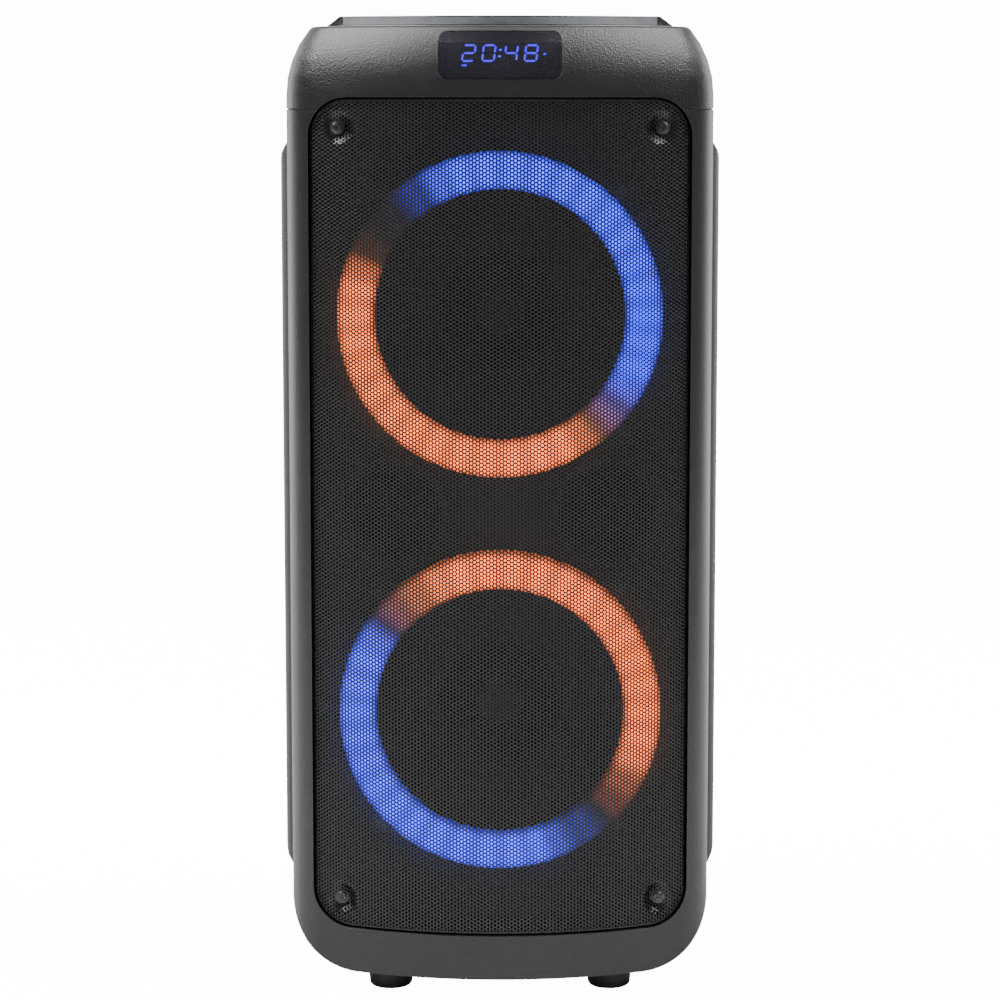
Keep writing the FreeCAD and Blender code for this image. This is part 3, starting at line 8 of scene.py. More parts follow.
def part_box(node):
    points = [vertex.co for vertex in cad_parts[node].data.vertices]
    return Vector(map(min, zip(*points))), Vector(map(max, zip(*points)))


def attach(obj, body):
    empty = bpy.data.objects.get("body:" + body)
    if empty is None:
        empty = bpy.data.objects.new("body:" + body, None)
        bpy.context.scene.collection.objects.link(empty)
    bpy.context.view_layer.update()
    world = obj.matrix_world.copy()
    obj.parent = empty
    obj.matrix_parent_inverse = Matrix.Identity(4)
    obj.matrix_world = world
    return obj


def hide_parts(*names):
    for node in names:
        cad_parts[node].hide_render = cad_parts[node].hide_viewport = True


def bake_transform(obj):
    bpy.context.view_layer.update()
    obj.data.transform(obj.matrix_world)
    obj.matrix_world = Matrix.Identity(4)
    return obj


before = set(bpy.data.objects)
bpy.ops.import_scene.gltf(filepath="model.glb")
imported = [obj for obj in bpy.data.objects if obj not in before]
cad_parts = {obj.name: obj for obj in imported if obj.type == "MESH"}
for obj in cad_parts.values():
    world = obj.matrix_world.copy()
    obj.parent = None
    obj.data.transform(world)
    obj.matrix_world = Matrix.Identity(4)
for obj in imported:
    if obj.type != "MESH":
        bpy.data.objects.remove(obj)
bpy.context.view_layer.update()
print("frame loaded with", len(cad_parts), "nodes")


# Small tools for handling pieces

def only(piece):
    bpy.ops.object.select_all(action="DESELECT")
    piece.select_set(True)
    bpy.context.view_layer.objects.active = piece
    return piece


def startEditing(piece, mode="FACE"):
    only(piece)
    bpy.ops.object.mode_set(mode="EDIT")
    bpy.ops.mesh.select_mode(type=mode)
    bpy.ops.mesh.select_all(action="DESELECT")


def stopEditing():
    bpy.ops.object.mode_set(mode="OBJECT")


def pickFaces(piece, wanted):
    cage = bmesh.from_edit_mesh(piece.data)
    for face in cage.faces:
        face.select_set(bool(wanted(face.calc_center_median(), face.normal)))
    bmesh.update_edit_mesh(piece.data)


def pickCorners(piece, wanted):
    cage = bmesh.from_edit_mesh(piece.data)
    for corner in cage.verts:
        corner.select_set(bool(wanted(corner.co)))
    cage.select_flush_mode()
    bmesh.update_edit_mesh(piece.data)
    return sum(corner.select for corner in cage.verts)


def modify(piece, kind, **settings):
    only(piece)
    modifier = piece.modifiers.new(kind.title(), kind)
    for name, value in settings.items():
        setattr(modifier, name, value)
    bpy.ops.object.modifier_apply(modifier=modifier.name)
    return piece


def settle(piece, name=None):
    # the place, turn and scale go into the mesh
    only(piece)
    bpy.ops.object.transform_apply(location=True, rotation=True, scale=True)
    if name:
        piece.name = name
        piece.data.name = name
    return piece


def copied(piece, name):
    twin = bpy.data.objects.new(name, piece.data.copy())
    bpy.context.collection.objects.link(twin)
    return twin


def joined(pieces, name):
    bpy.ops.object.select_all(action="DESELECT")
    for piece in pieces:
        piece.select_set(True)
    bpy.context.view_layer.objects.active = pieces[0]
    bpy.ops.object.join()
    pieces[0].name = name
    return pieces[0]


def smoothed(piece, angle=35):
    only(piece)
    bpy.ops.object.shade_smooth_by_angle(angle=math.radians(angle))
    return piece


def rounded(piece, width, segments, angle):
    # edges sharper than the angle are rounded
    return modify(piece, "BEVEL", width=width, segments=segments, limit_method="ANGLE",
                  angle_limit=math.radians(angle))


def crossCut(piece, blade, depth, first=0):
    # a cross recess, sunk into a screw head that looks along y
    for quarter in range(2):
        bpy.ops.object.select_all(action="DESELECT")
        bpy.ops.mesh.primitive_cube_add(size=1, location=(0, depth, 0),
                                        rotation=(0, math.radians(first + 90 * quarter), 0))
        cutter = bpy.context.object
        cutter.scale = blade
        settle(cutter, "crossBlade")
        modify(piece, "BOOLEAN", operation="DIFFERENCE", solver="EXACT", object=cutter)
        bpy.data.objects.remove(cutter)


def mergedCopy(node, name, flatten=True):
    piece = bpy.data.objects.new(name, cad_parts[node].data.copy())
    bpy.context.collection.objects.link(piece)
    startEditing(piece)
    bpy.ops.mesh.select_all(action="SELECT")
    bpy.ops.mesh.remove_doubles(threshold=1e-6)
    if flatten:
        bpy.ops.mesh.dissolve_limited(angle_limit=math.radians(0.3))
    stopEditing()
    return piece


def dressed(piece, body, material):
    piece.data.materials.clear()
    piece.data.materials.append(material)
    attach(piece, body)
    return piece


def cadDressed(node, material):
    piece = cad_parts[node]
    piece.data.materials.clear()
    piece.data.materials.append(material)
    return piece


# Paint: sockets with arithmetic, and one method that makes nodes

class Wire:
    def __init__(self, paint, socket):
        self.paint = paint
        self.socket = socket

    def maths(self, operation, *values):
        return self.paint.node("ShaderNodeMath", {"operation": operation}, dict(enumerate(values)))

    def __add__(self, other):
        return self.maths("ADD", self, other)

    def __radd__(self, other):
        return self.maths("ADD", other, self)

    def __sub__(self, other):
        return self.maths("SUBTRACT", self, other)

    def __rsub__(self, other):
        return self.maths("SUBTRACT", other, self)

    def __mul__(self, other):
        return self.maths("MULTIPLY", self, other)

    def __rmul__(self, other):
        return self.maths("MULTIPLY", other, self)

    def __truediv__(self, other):
        return self.maths("DIVIDE", self, other)

    def __rtruediv__(self, other):
        return self.maths("DIVIDE", other, self)

    def __pow__(self, other):
        return self.maths("POWER", self, other)

    def __rpow__(self, other):
        return self.maths("POWER", other, self)


class Paint:
    def __init__(self, name, uniform):
        self.material = bpy.data.materials.new(name)
        self.material.use_nodes = True
        self.tree = self.material.node_tree
        self.shader = self.tree.nodes["Principled BSDF"]
        for socket, value in uniform.items():
            self.feed(self.shader.inputs[socket], value)
        self.place = self.node("ShaderNodeTexCoord", output="Object")

    def feed(self, socket, value):
        if isinstance(value, Wire):
            self.tree.links.new(value.socket, socket)
        else:
            socket.default_value = value

    def node(self, kind, settings=None, values=None, output=0):
        made = self.tree.nodes.new(kind)
        for name, value in (settings or {}).items():
            if name == "stops":
                while len(made.color_ramp.elements) < len(value):
                    made.color_ramp.elements.new(1.0)
                for stop, (position, colour) in zip(made.color_ramp.elements, value):
                    stop.position = position
                    stop.color = colour
            else:
                setattr(made, name, value)
        for name, value in (values or {}).items():
            self.feed(made.inputs[name], value)
        return Wire(self, made.outputs[output])

    def set(self, socket, value):
        self.feed(self.shader.inputs[socket], value)

    def axes(self):
        return [self.node("ShaderNodeSeparateXYZ", {}, {0: self.place}, axis) for axis in "XYZ"]

    def stretched(self, stretch):
        return self.node("ShaderNodeMapping", {}, {"Vector": self.place, "Scale": stretch})

    def noise(self, size, detail=2, place=None):
        return self.node("ShaderNodeTexNoise", {},
                         {"Vector": place or self.place, "Scale": 1 / size, "Detail": detail})

    def cells(self, size, feature="F1"):
        return self.node("ShaderNodeTexVoronoi", {"feature": feature},
                         {"Vector": self.place, "Scale": 1 / size})

    def ramp(self, value, low, high, bottom=0.0, top=1.0):
        return self.node("ShaderNodeMapRange", {"interpolation_type": "SMOOTHSTEP"},
                         {"Value": value, "From Min": low, "From Max": high, "To Min": bottom, "To Max": top})

    def blend(self, factor, first, second, kind="MIX"):
        return self.node("ShaderNodeMix", {"data_type": "RGBA", "blend_type": kind},
                         {0: factor, 6: first, 7: second}, 2)

    def relief(self, height, depth):
        self.set("Normal", self.node("ShaderNodeBump", {},
                                     {"Strength": 1.0, "Distance": depth, "Height": height}))


def tint(code, gain=1.0):
    # a screen colour such as 3a3b3d as linear light
    channels = [int(code[start:start + 2], 16) / 255 for start in (0, 2, 4)]
    linear = [c / 12.92 if c <= 0.04045 else ((c + 0.055) / 1.055) ** 2.4 for c in channels]
    return tuple(gain * c for c in linear) + (1.0,)


# Finishes

def mouldedPlastic(name, colour, worn, roughness, grain, depth, coat=0.0):
    # injection-moulded plastic with a spark-eroded grain
    paint = Paint(name, {"Coat Weight": coat, "Coat Roughness": 0.12, "IOR": 1.5})
    sparks = paint.cells(grain)
    fine = paint.noise(grain * 0.55, 3)
    clouds = paint.noise(0.09, 4)
    height = sparks * 0.65 + fine * 0.5
    shade = paint.ramp(clouds * 0.7 + height * 0.3, 0.3, 0.75)
    paint.set("Base Color", paint.blend(shade, tint(colour), tint(worn)))
    paint.set("Roughness", roughness - 0.05 + clouds * 0.06 + fine * 0.05)
    paint.relief(height, depth)
    return paint.material


def rubber(name, colour, worn, roughness=0.62):
    paint = Paint(name, {"IOR": 1.45})
    pores = paint.noise(0.0011, 3)
    clouds = paint.noise(0.05, 4)
    paint.set("Base Color", paint.blend(paint.ramp(clouds, 0.35, 0.7), tint(colour), tint(worn)))
    paint.set("Roughness", roughness + pores * 0.16 - 0.08)
    paint.relief(pores, 0.00014)
    return paint.material


def sheetMetal(name, colour, worn, roughness, metallic=1.0, stretch=(1, 1, 1), grain=0.0004, depth=0.00003):
    # rolled, plated or brushed metal: the stretch lays the scratches along one way
    paint = Paint(name, {"Metallic": metallic})
    scratches = paint.noise(grain, 4, paint.stretched(stretch))
    clouds = paint.noise(0.02, 4)
    wear = paint.ramp(scratches * 0.5 + clouds * 0.5, 0.35, 0.65)
    paint.set("Base Color", paint.blend(wear, tint(colour), tint(worn)))
    paint.set("Roughness", roughness - 0.08 + scratches * 0.1 + clouds * 0.08)
    paint.relief(scratches, depth)
    return paint.material


def paper(name, colour, worn, roughness=0.75):
    # pressed fibre with a few long hairs
    paint = Paint(name, {"IOR": 1.4})
    fibre = paint.noise(0.0016, 6, paint.stretched((1, 1, 0.35)))
    hairs = paint.noise(0.006, 6)
    shade = paint.ramp(fibre * 0.6 + hairs * 0.4, 0.38, 0.62)
    paint.set("Base Color", paint.blend(shade, tint(colour), tint(worn)))
    paint.set("Roughness", roughness + fibre * 0.15 - 0.07)
    paint.relief(fibre, 0.0002)
    return paint.material


def wovenCloth(name, colour, worn, thread):
    paint = Paint(name, {"IOR": 1.4, "Roughness": 0.85})
    across, _, up = paint.axes()
    warp = paint.node("ShaderNodeMath", {"operation": "SINE"}, {0: across * (math.tau / thread)})
    weft = paint.node("ShaderNodeMath", {"operation": "SINE"}, {0: up * (math.tau / thread)})
    weave = warp * weft * 0.5 + 0.5
    paint.set("Base Color", paint.blend(weave * 0.6 + paint.noise(0.01) * 0.4, tint(colour), tint(worn)))
    paint.relief(weave, 0.0002)
    return paint.material


def circuitBoard(name, colour, copper, pads):
    # solder mask over tracks, with tinned pads
    paint = Paint(name, {"IOR": 1.5, "Coat Weight": 0.4, "Coat Roughness": 0.15})
    tracks = paint.cells(0.006, "DISTANCE_TO_EDGE")
    line = paint.ramp(tracks, 0.04, 0.07, 1.0, 0.0)
    spots = paint.ramp(paint.cells(0.009), 0.12, 0.16, 1.0, 0.0)
    masked = paint.blend(line, tint(colour), tint(copper))
    paint.set("Base Color", paint.blend(spots, masked, tint(pads)))
    paint.set("Roughness", 0.42 - spots * 0.15 + paint.noise(0.003) * 0.08)
    paint.relief(line * 0.6 + spots, 0.0001)
    return paint.material


def ferrite(name):
    paint = Paint(name, {"IOR": 1.6})
    specks = paint.noise(0.0009, 8)
    chips = paint.cells(0.012)
    paint.set("Base Color", paint.blend(paint.ramp(specks, 0.4, 0.65), tint("26272a"), tint("3a3c40")))
    paint.set("Roughness", 0.5 + specks * 0.2)
    paint.relief(specks * 0.7 + chips * 0.3, 0.0002)
    return paint.material


def shrinkWrap(name, colour, worn):
    # thin film drawn tight round the cells, its tone and relief following creases
    paint = Paint(name, {"IOR": 1.5, "Coat Weight": 0.5, "Coat Roughness": 0.2})
    creases = paint.noise(0.012, 5, paint.stretched((0.3, 1, 1)))
    across, _, _ = paint.axes()
    cellsUnder = paint.node("ShaderNodeMath", {"operation": "SINE"}, {0: across * (math.tau / 0.0188)})
    paint.set("Base Color", paint.blend(paint.ramp(creases, 0.35, 0.7), tint(colour), tint(worn)))
    paint.set("Roughness", 0.3 + creases * 0.15)
    paint.relief(cellsUnder * 0.5 + creases, 0.0005)
    return paint.material


casePlastic = mouldedPlastic("casePlastic", "131314", "1b1b1c", 0.40, 0.0012, 0.00014)
capPlastic = mouldedPlastic("capPlastic", "131314", "1c1c1d", 0.37, 0.0012, 0.00026)
gripPlastic = mouldedPlastic("gripPlastic", "1f2022", "2a2b2d", 0.55, 0.0012, 0.00018)
deckGloss = mouldedPlastic("deckGloss", "0b0b0d", "121315", 0.2, 0.004, 0.000015, 0.6)
trimSatin = sheetMetal("trimSatin", "424345", "525355", 0.42, 0.85, (0.2, 1, 1), 0.0006, 0.00005)
padRubber = rubber("padRubber", "2a2b2d", "2f3032", 0.58)
footRubber = rubber("footRubber", "1c1d1e", "292a2b")
surroundRubber = rubber("surroundRubber", "141415", "1d1e1f", 0.5)
portPlastic = mouldedPlastic("portPlastic", "161618", "1f2022", 0.5, 0.001, 0.0001)
baffleBoard = mouldedPlastic("baffleBoard", "08080a", "0e0e10", 0.8, 0.0009, 0.0002)
panelPlastic = mouldedPlastic("panelPlastic", "1c1d1f", "27282a", 0.48, 0.0012, 0.00015)
smallKnobPlastic = mouldedPlastic("smallKnobPlastic", "17181a", "242527", 0.42, 0.0008, 0.00008)
buttonPlastic = mouldedPlastic("buttonPlastic", "232427", "303134", 0.4, 0.0009, 0.00008)
rockerPlastic = mouldedPlastic("rockerPlastic", "141416", "1e1f21", 0.3, 0.001, 0.00004, 0.3)
inletPlastic = mouldedPlastic("inletPlastic", "131315", "1c1c1e", 0.5, 0.0009, 0.00008)
screwSteel = sheetMetal("screwSteel", "3a3a3d", "56565a", 0.38, 0.8, (1, 1, 1), 0.0007, 0.00003)
zincSteel = sheetMetal("zincSteel", "8b8d90", "b0b2b4", 0.32, 1.0, (1, 1, 1), 0.0008, 0.00003)
basketSteel = sheetMetal("basketSteel", "151517", "222325", 0.5, 0.3, (1, 1, 1), 0.0008, 0.00008)
plateSteel = sheetMetal("plateSteel", "5b5e62", "7b7e82", 0.35, 1.0, (1, 0.1, 1), 0.0005, 0.00003)
jackMetal = sheetMetal("jackMetal", "9a9c9e", "c4c6c8", 0.25, 1.0, (1, 0.15, 1), 0.0005, 0.00002)
coilMetal = sheetMetal("coilMetal", "8a4a22", "b9713d", 0.35, 1.0, (0.3, 3, 0.3), 0.0006, 0.00006)
knobMetal = sheetMetal("knobMetal", "2c2d30", "45464a", 0.34, 0.9, (1, 1, 0.15), 0.0006, 0.00003)
encoderMetal = sheetMetal("encoderMetal", "8f9194", "b3b5b8", 0.35)
sinkAluminium = sheetMetal("sinkAluminium", "b4b6b8", "d3d4d6", 0.38, 1.0, (0.1, 1, 1), 0.0007, 0.00004)
conePaper = paper("conePaper", "17171a", "222225")
capPaper = paper("dustCapPaper", "131315", "1d1d20", 0.6)
spiderCloth = wovenCloth("spiderCloth", "a8792f", "c79a4d", 0.0012)
boardGreen = circuitBoard("boardGreen", "0d3b22", "1c5a33", "b9b9ae")
boardWhite = circuitBoard("boardWhite", "c9ccce", "dcdedf", "a8a18a")
magnetFerrite = ferrite("magnetFerrite")
batteryWrap = shrinkWrap("batteryWrap", "0f3e8a", "1a56ad")
leadInsulation = rubber("leadInsulation", "8e1717", "a92323", 0.5)
moduleBlack = mouldedPlastic("moduleBlack", "0c0b10", "131217", 0.4, 0.001, 0.00005)
print("plain finishes mixed")


# Light rings: each is blue over one part of the turn and orange over the rest, counted from the right

ringBlue = tint("0d1cff", 0.75)
ringOrange = tint("ff6a18", 0.6)
ring = {
    "inner": 0.0805,
    "outer": 0.10475,
    "lamps": 34,
    "strength": 13.0,
    "fade": 0.0055,
    "glow": 0.0018,
    "paintedGlowStrength": 0.006,  # painted glow: how strongly the ring colours are painted as emission on the perforated sheet in front of a ring
    "upper": [
        (0.000, ringBlue), (0.300, ringBlue), (0.340, tint("0a0a55")), (0.375, tint("050308")),
        (0.410, tint("0a0504")), (0.435, tint("2a1208")), (0.470, ringOrange), (0.820, ringOrange),
        (0.860, tint("54280f")), (0.900, tint("2a1a60")), (0.930, ringBlue), (1.000, ringBlue),
    ],
    "lower": [
        (0.000, ringOrange), (0.300, ringOrange), (0.350, tint("6b3013")), (0.395, tint("1c1030")),
        (0.430, ringBlue), (0.790, ringBlue), (0.825, tint("0a0f60")), (0.875, tint("08050c")),
        (0.920, tint("5a2410")), (0.955, ringOrange), (1.000, ringOrange),
    ],
}


def ringMiddle(side):
    low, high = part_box("light_ring_" + side)
    return (low.z + high.z) / 2


def ringLight(paint, side):
    # the colour round a ring, and how bright each place in it is
    across, _, up = paint.axes()
    rise = up - ringMiddle(side)
    angle = paint.node("ShaderNodeMath", {"operation": "ARCTAN2"}, {0: rise, 1: across})
    turn = paint.node("ShaderNodeMath", {"operation": "FRACT"}, {0: angle / math.tau})
    colour = paint.node("ShaderNodeValToRGB", {"stops": ring[side]}, {"Fac": turn})
    lamps = paint.node("ShaderNodeMath", {"operation": "COSINE"}, {0: angle * ring["lamps"]})
    reach = (across * across + rise * rise) ** 0.5
    inside = paint.ramp(reach, ring["inner"] - ring["glow"], ring["inner"] + ring["fade"])
    outside = paint.ramp(reach, ring["outer"] - ring["fade"], ring["outer"] + ring["glow"], 1.0, 0.0)
    return colour, inside * outside * (lamps * 0.18 + 0.82)


def ringDiffuser(side):
    paint = Paint("ringDiffuser_" + side,
                  {"IOR": 1.45, "Roughness": 0.35, "Emission Strength": ring["strength"]})
    colour, level = ringLight(paint, side)
    frost = paint.noise(0.0012, 2)
    paint.set("Base Color", paint.blend(frost, tint("2c2d2f"), tint("3a3b3d")))
    paint.set("Emission Color", paint.blend(level * (frost * 0.3 + 0.85), tint("000000"), colour))
    paint.relief(frost, 0.0001)
    return paint.material


for side in ("upper", "lower"):
    cadDressed("light_ring_" + side, ringDiffuser(side))
print("light rings lit")


# Casing shells: merged copies with rounded edges

shells = {
    "rear_cabinet": {"edge": 0.0008, "slot": "cabinet_plastic", "paint": casePlastic},
    "front_frame": {"edge": 0.0012, "slot": "frame_plastic", "paint": casePlastic},
    "top_cap": {"edge": 0.0007, "slot": "cap_plastic", "paint": capPlastic},
    "side_pad_left": {"edge": 0.0020, "slot": "pad_rubber", "paint": padRubber},
    "side_pad_right": {"edge": 0.0020, "slot": "pad_rubber", "paint": padRubber},
    "grip_cup_left": {"edge": 0.0010, "slot": "grip_plastic", "paint": gripPlastic},
    "grip_cup_right": {"edge": 0.0010, "slot": "grip_plastic", "paint": gripPlastic},
    "control_deck": {"edge": 0.0007, "slot": "deck_gloss", "paint": deckGloss},
    "deck_trim": {"edge": 0.0003, "slot": "trim_metal", "paint": trimSatin},
    "rubber_feet": {"edge": 0.0012, "slot": "foot_rubber", "paint": footRubber},
    "mains_inlet": {"edge": 0.0003, "slot": "inlet_plastic", "paint": inletPlastic},
    "heat_sink": {"edge": 0.0003, "slot": "sink_aluminium", "paint": sinkAluminium},
    "battery_pack": {"edge": 0.0030, "slot": "battery_wrap", "paint": batteryWrap},
}

for node, shell in shells.items():
    piece = mergedCopy(node, node + "_shell")
    modify(piece, "BEVEL", width=shell["edge"], segments=3, limit_method="ANGLE",
           angle_limit=math.radians(38), miter_outer="MITER_ARC")
    smoothed(piece, 40)
    modify(piece, "WEIGHTED_NORMAL", keep_sharp=True, weight=60)
    dressed(piece, "casing", shell["paint"])
    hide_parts(node)
print("casing shells rounded")


# Perforated steel front: hexagonal cells bent to the crown, in bands up the height

grille = {
    "pitch": 0.0025,
    "hole": 0.0015,
    "swell": 0.00016,
    "holeCorners": 8,
    "pairs": 60,
    "rows": 27,
    "bands": 8,
    "crown": 0.2325,
    "behindRim": 0.00015,
    "sheet": 0.0007,
    "corner": 0.0238,
    "trim": 0.0005,
    "border": 0.0011,
    "dimple": 0.0068,
    "seat": 0.0052,
    "eye": 0.0030,
    "lip": 0.0004,
    "punchClear": 0.005,
    "punchDepth": 0.06,
}
grilleScrew = {
    "radius": 0.0045,
    "flange": 0.0009,
    "height": 0.0018,
    "shoulder": 0.0011,
    "taper": 0.8,
    "rounding": 0.0003,
    "blade": (0.0038, 0.0016, 0.0008),
    "bladeAt": 0.0015,
    "turn": (17, 41),  # the first head's turn, and how much further each next one is
}
grilleLow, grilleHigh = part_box("grille")
screwLow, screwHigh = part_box("grille_screws")
screwSeat = screwLow.y + grilleScrew["height"]
screwPlaces = [(x, z) for x in (screwLow.x + grilleScrew["radius"], screwHigh.x - grilleScrew["radius"])
               for z in (screwLow.z + grilleScrew["radius"], screwHigh.z - grilleScrew["radius"])]


def insideOutline(point, inset):
    # within the rounded outline of the sheet, brought in by the inset
    corner = grille["corner"] - inset
    overX = abs(point.x) - (grilleHigh.x - inset - corner)
    middle = (grilleLow.z + grilleHigh.z) / 2
    overZ = abs(point.z - middle) - ((grilleHigh.z - grilleLow.z) / 2 - inset - corner)
    return math.hypot(max(overX, 0), max(overZ, 0)) <= corner


def makeCell():
    # one hexagon with a round hole, flat in the ground plane, and its partner half a step on
    bpy.ops.object.select_all(action="DESELECT")
    bpy.ops.mesh.primitive_circle_add(vertices=6, radius=grille["pitch"] / math.sqrt(3),
                                      rotation=(0, 0, math.radians(30)))
    outline = bpy.context.object
    outline.location = (0, 0, grille["swell"])  # the webs stand a little proud of the holes' rims
    settle(outline)
    bpy.ops.object.select_all(action="DESELECT")
    bpy.ops.mesh.primitive_circle_add(vertices=grille["holeCorners"], radius=grille["hole"] / 2,
                                      rotation=(0, 0, math.pi / grille["holeCorners"]))
    hole = settle(bpy.context.object)
    cell = joined([outline, hole], "grilleCell")
    startEditing(cell, "EDGE")
    bpy.ops.mesh.select_all(action="SELECT")
    bpy.ops.mesh.bridge_edge_loops()
    bpy.ops.mesh.select_all(action="SELECT")
    bpy.ops.mesh.normals_make_consistent(inside=False)
    stopEditing()
    if cell.data.polygons[0].normal.z < 0:
        startEditing(cell)
        bpy.ops.mesh.select_all(action="SELECT")
        bpy.ops.mesh.flip_normals()
        stopEditing()
    partner = copied(cell, "grilleCellPartner")
    partner.location = (grille["pitch"] * math.sqrt(3) / 2, grille["pitch"] / 2, 0)
    settle(partner)
    return joined([cell, partner], "grilleCell")


def makeSheet():
    # a band of cells, stood up and bent about the crown's axis
    step = grille["pitch"] * math.sqrt(3)
    sheet = makeCell()
    modify(sheet, "ARRAY", count=grille["pairs"], use_relative_offset=False, use_constant_offset=True,
           constant_offset_displace=(step, 0, 0))
    modify(sheet, "ARRAY", count=grille["rows"], use_relative_offset=False, use_constant_offset=True,
           constant_offset_displace=(0, grille["pitch"], 0))
    startEditing(sheet)
    bpy.ops.mesh.select_all(action="SELECT")
    bpy.ops.mesh.remove_doubles(threshold=1e-5)
    stopEditing()
    xs = [corner.co.x for corner in sheet.data.vertices]
    sheet.location = (-(min(xs) + max(xs)) / 2, 0, 0)
    settle(sheet)
    sheet.rotation_euler = (math.radians(90), 0, 0)
    settle(sheet)
    radius = grille["crown"] - grille["behindRim"]
    modify(sheet, "SIMPLE_DEFORM", deform_method="BEND", deform_axis="Z", angle=(max(xs) - min(xs)) / radius)
    return sheet


sheet = makeSheet()
frontMost = min(corner.co.y for corner in sheet.data.vertices)
bandHeight = grille["rows"] * grille["pitch"]
lattice = []
for number in range(grille["bands"]):
    band = copied(sheet, "grilleSheet" + str(number + 1))
    band.location = (0, grilleLow.y + grille["behindRim"] - frontMost,
                     (grilleLow.z + grilleHigh.z) / 2 + (number - grille["bands"] / 2) * bandHeight)
    settle(band)
    startEditing(band)
    pickFaces(band, lambda middle, normal: not insideOutline(middle, grille["trim"]))
    bpy.ops.mesh.delete(type="FACE")
    for x, z in screwPlaces:
        bpy.ops.mesh.select_mode(type="FACE")
        pickFaces(band, lambda place, normal: math.hypot(place.x - x, place.z - z) < grille["eye"])
        bpy.ops.mesh.delete(type="FACE")
        bpy.ops.mesh.select_mode(type="VERT")
        if pickCorners(band, lambda corner: math.hypot(corner.x - x, corner.z - z) < grille["seat"]):
            bpy.ops.transform.resize(value=(1, 0, 1), center_override=(x, screwSeat, z),
                                     use_proportional_edit=True, use_proportional_connected=False,
                                     proportional_edit_falloff="SMOOTH", proportional_size=grille["dimple"])
    stopEditing()
    modify(band, "SOLIDIFY", thickness=grille["sheet"], offset=-1.0)
    lattice.append(band)
bpy.data.objects.remove(sheet)
print("perforated sheet made:", sum(len(band.data.polygons) for band in lattice), "faces")


def makeRim():
    rim = mergedCopy("grille", "grilleRim")
    bpy.ops.object.select_all(action="DESELECT")
    middle = (grilleLow.z + grilleHigh.z) / 2
    bpy.ops.mesh.primitive_plane_add(size=1, location=(0, grilleLow.y - grille["punchClear"], middle),
                                     rotation=(math.radians(90), 0, 0))
    punch = bpy.context.object
    punch.scale = (grilleHigh.x - grilleLow.x - 2 * grille["border"],
                   grilleHigh.z - grilleLow.z - 2 * grille["border"], 1)
    settle(punch, "rimPunch")
    startEditing(punch, "VERT")
    bpy.ops.mesh.select_all(action="SELECT")
    bpy.ops.mesh.bevel(offset=grille["corner"] - grille["border"], offset_type="OFFSET", segments=14,
                       affect="VERTICES")
    bpy.ops.mesh.select_mode(type="FACE")
    bpy.ops.mesh.select_all(action="SELECT")
    bpy.ops.mesh.extrude_region_move(TRANSFORM_OT_translate={"value": (0, grille["punchDepth"], 0)})
    bpy.ops.mesh.select_all(action="SELECT")
    bpy.ops.mesh.normals_make_consistent(inside=False)
    stopEditing()
    modify(rim, "BOOLEAN", operation="DIFFERENCE", solver="EXACT", object=punch)
    bpy.data.objects.remove(punch)
    rounded(rim, grille["lip"], 2, 45)
    return smoothed(rim, 40)


def powderCoat():
    # black powder coat, with a painted glow in the ring colours on the sheet in front of each ring, standing
    # for the rings' light on the webs and the edges of the holes
    paint = Paint("grillePowderCoatAndPaintedGlow", {"IOR": 1.5, "Emission Strength": ring["paintedGlowStrength"]})
    orange = paint.noise(0.0006, 3)
    clouds = paint.noise(0.04, 3)
    wear = paint.ramp(orange * 0.5 + clouds * 0.5, 0.35, 0.65)
    paint.set("Base Color", paint.blend(wear, tint("0d0d0e"), tint("161617")))
    paint.set("Roughness", 0.30 + orange * 0.12)
    # painted glow: each ring's colour and brightness, added up and painted as emission on the sheet
    glow = tint("000000")
    for side in ("upper", "lower"):
        colour, level = ringLight(paint, side)
        glow = paint.blend(1.0, paint.blend(level, tint("000000"), colour), glow, "ADD")
    paint.set("Emission Color", glow)
    paint.relief(orange, 0.00006)
    return paint.material


grilleCoatAndPaintedGlow = powderCoat()
for band in lattice:
    dressed(band, "casing", grilleCoatAndPaintedGlow)
    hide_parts("grille")
rim = dressed(makeRim(), "casing", grilleCoatAndPaintedGlow)
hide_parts("grille")
print("grille rim folded")


# Grille screws: flanged heads with a cross recess

def makeGrilleScrew():
    bpy.ops.object.select_all(action="DESELECT")
    bpy.ops.mesh.primitive_cylinder_add(vertices=48, radius=grilleScrew["radius"],
                                        depth=grilleScrew["flange"], rotation=(math.radians(90), 0, 0),
                                        location=(0, -grilleScrew["flange"] / 2, 0))
    head = settle(bpy.context.object, "grilleScrewHead")
    startEditing(head)
    pickFaces(head, lambda place, normal: normal.y < -0.9)
    bpy.ops.mesh.inset(thickness=grilleScrew["shoulder"])
    rise = grilleScrew["height"] - grilleScrew["flange"]
    bpy.ops.mesh.extrude_region_move(TRANSFORM_OT_translate={"value": (0, -rise, 0)})
    bpy.ops.transform.resize(value=(grilleScrew["taper"], 1, grilleScrew["taper"]),
                             center_override=(0, -grilleScrew["height"], 0))
    stopEditing()
    rounded(head, grilleScrew["rounding"], 3, 30)
    crossCut(head, grilleScrew["blade"], -grilleScrew["bladeAt"], 45)
    return smoothed(head, 35)


firstHead = makeGrilleScrew()
heads = []
for number, (x, z) in enumerate(screwPlaces):
    head = copied(firstHead, "grilleScrew" + str(number + 1))
    firstTurn, turnStep = grilleScrew["turn"]
    head.rotation_euler = (0, math.radians(firstTurn + turnStep * number), 0)
    head.location = (x, screwSeat, z)
    heads.append(settle(head))
bpy.data.objects.remove(firstHead)
for head in heads:
    dressed(head, "casing", screwSteel)
    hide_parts("grille_screws")
print("grille screws set")


# Display: slanted seven-segment figures behind a smoked window

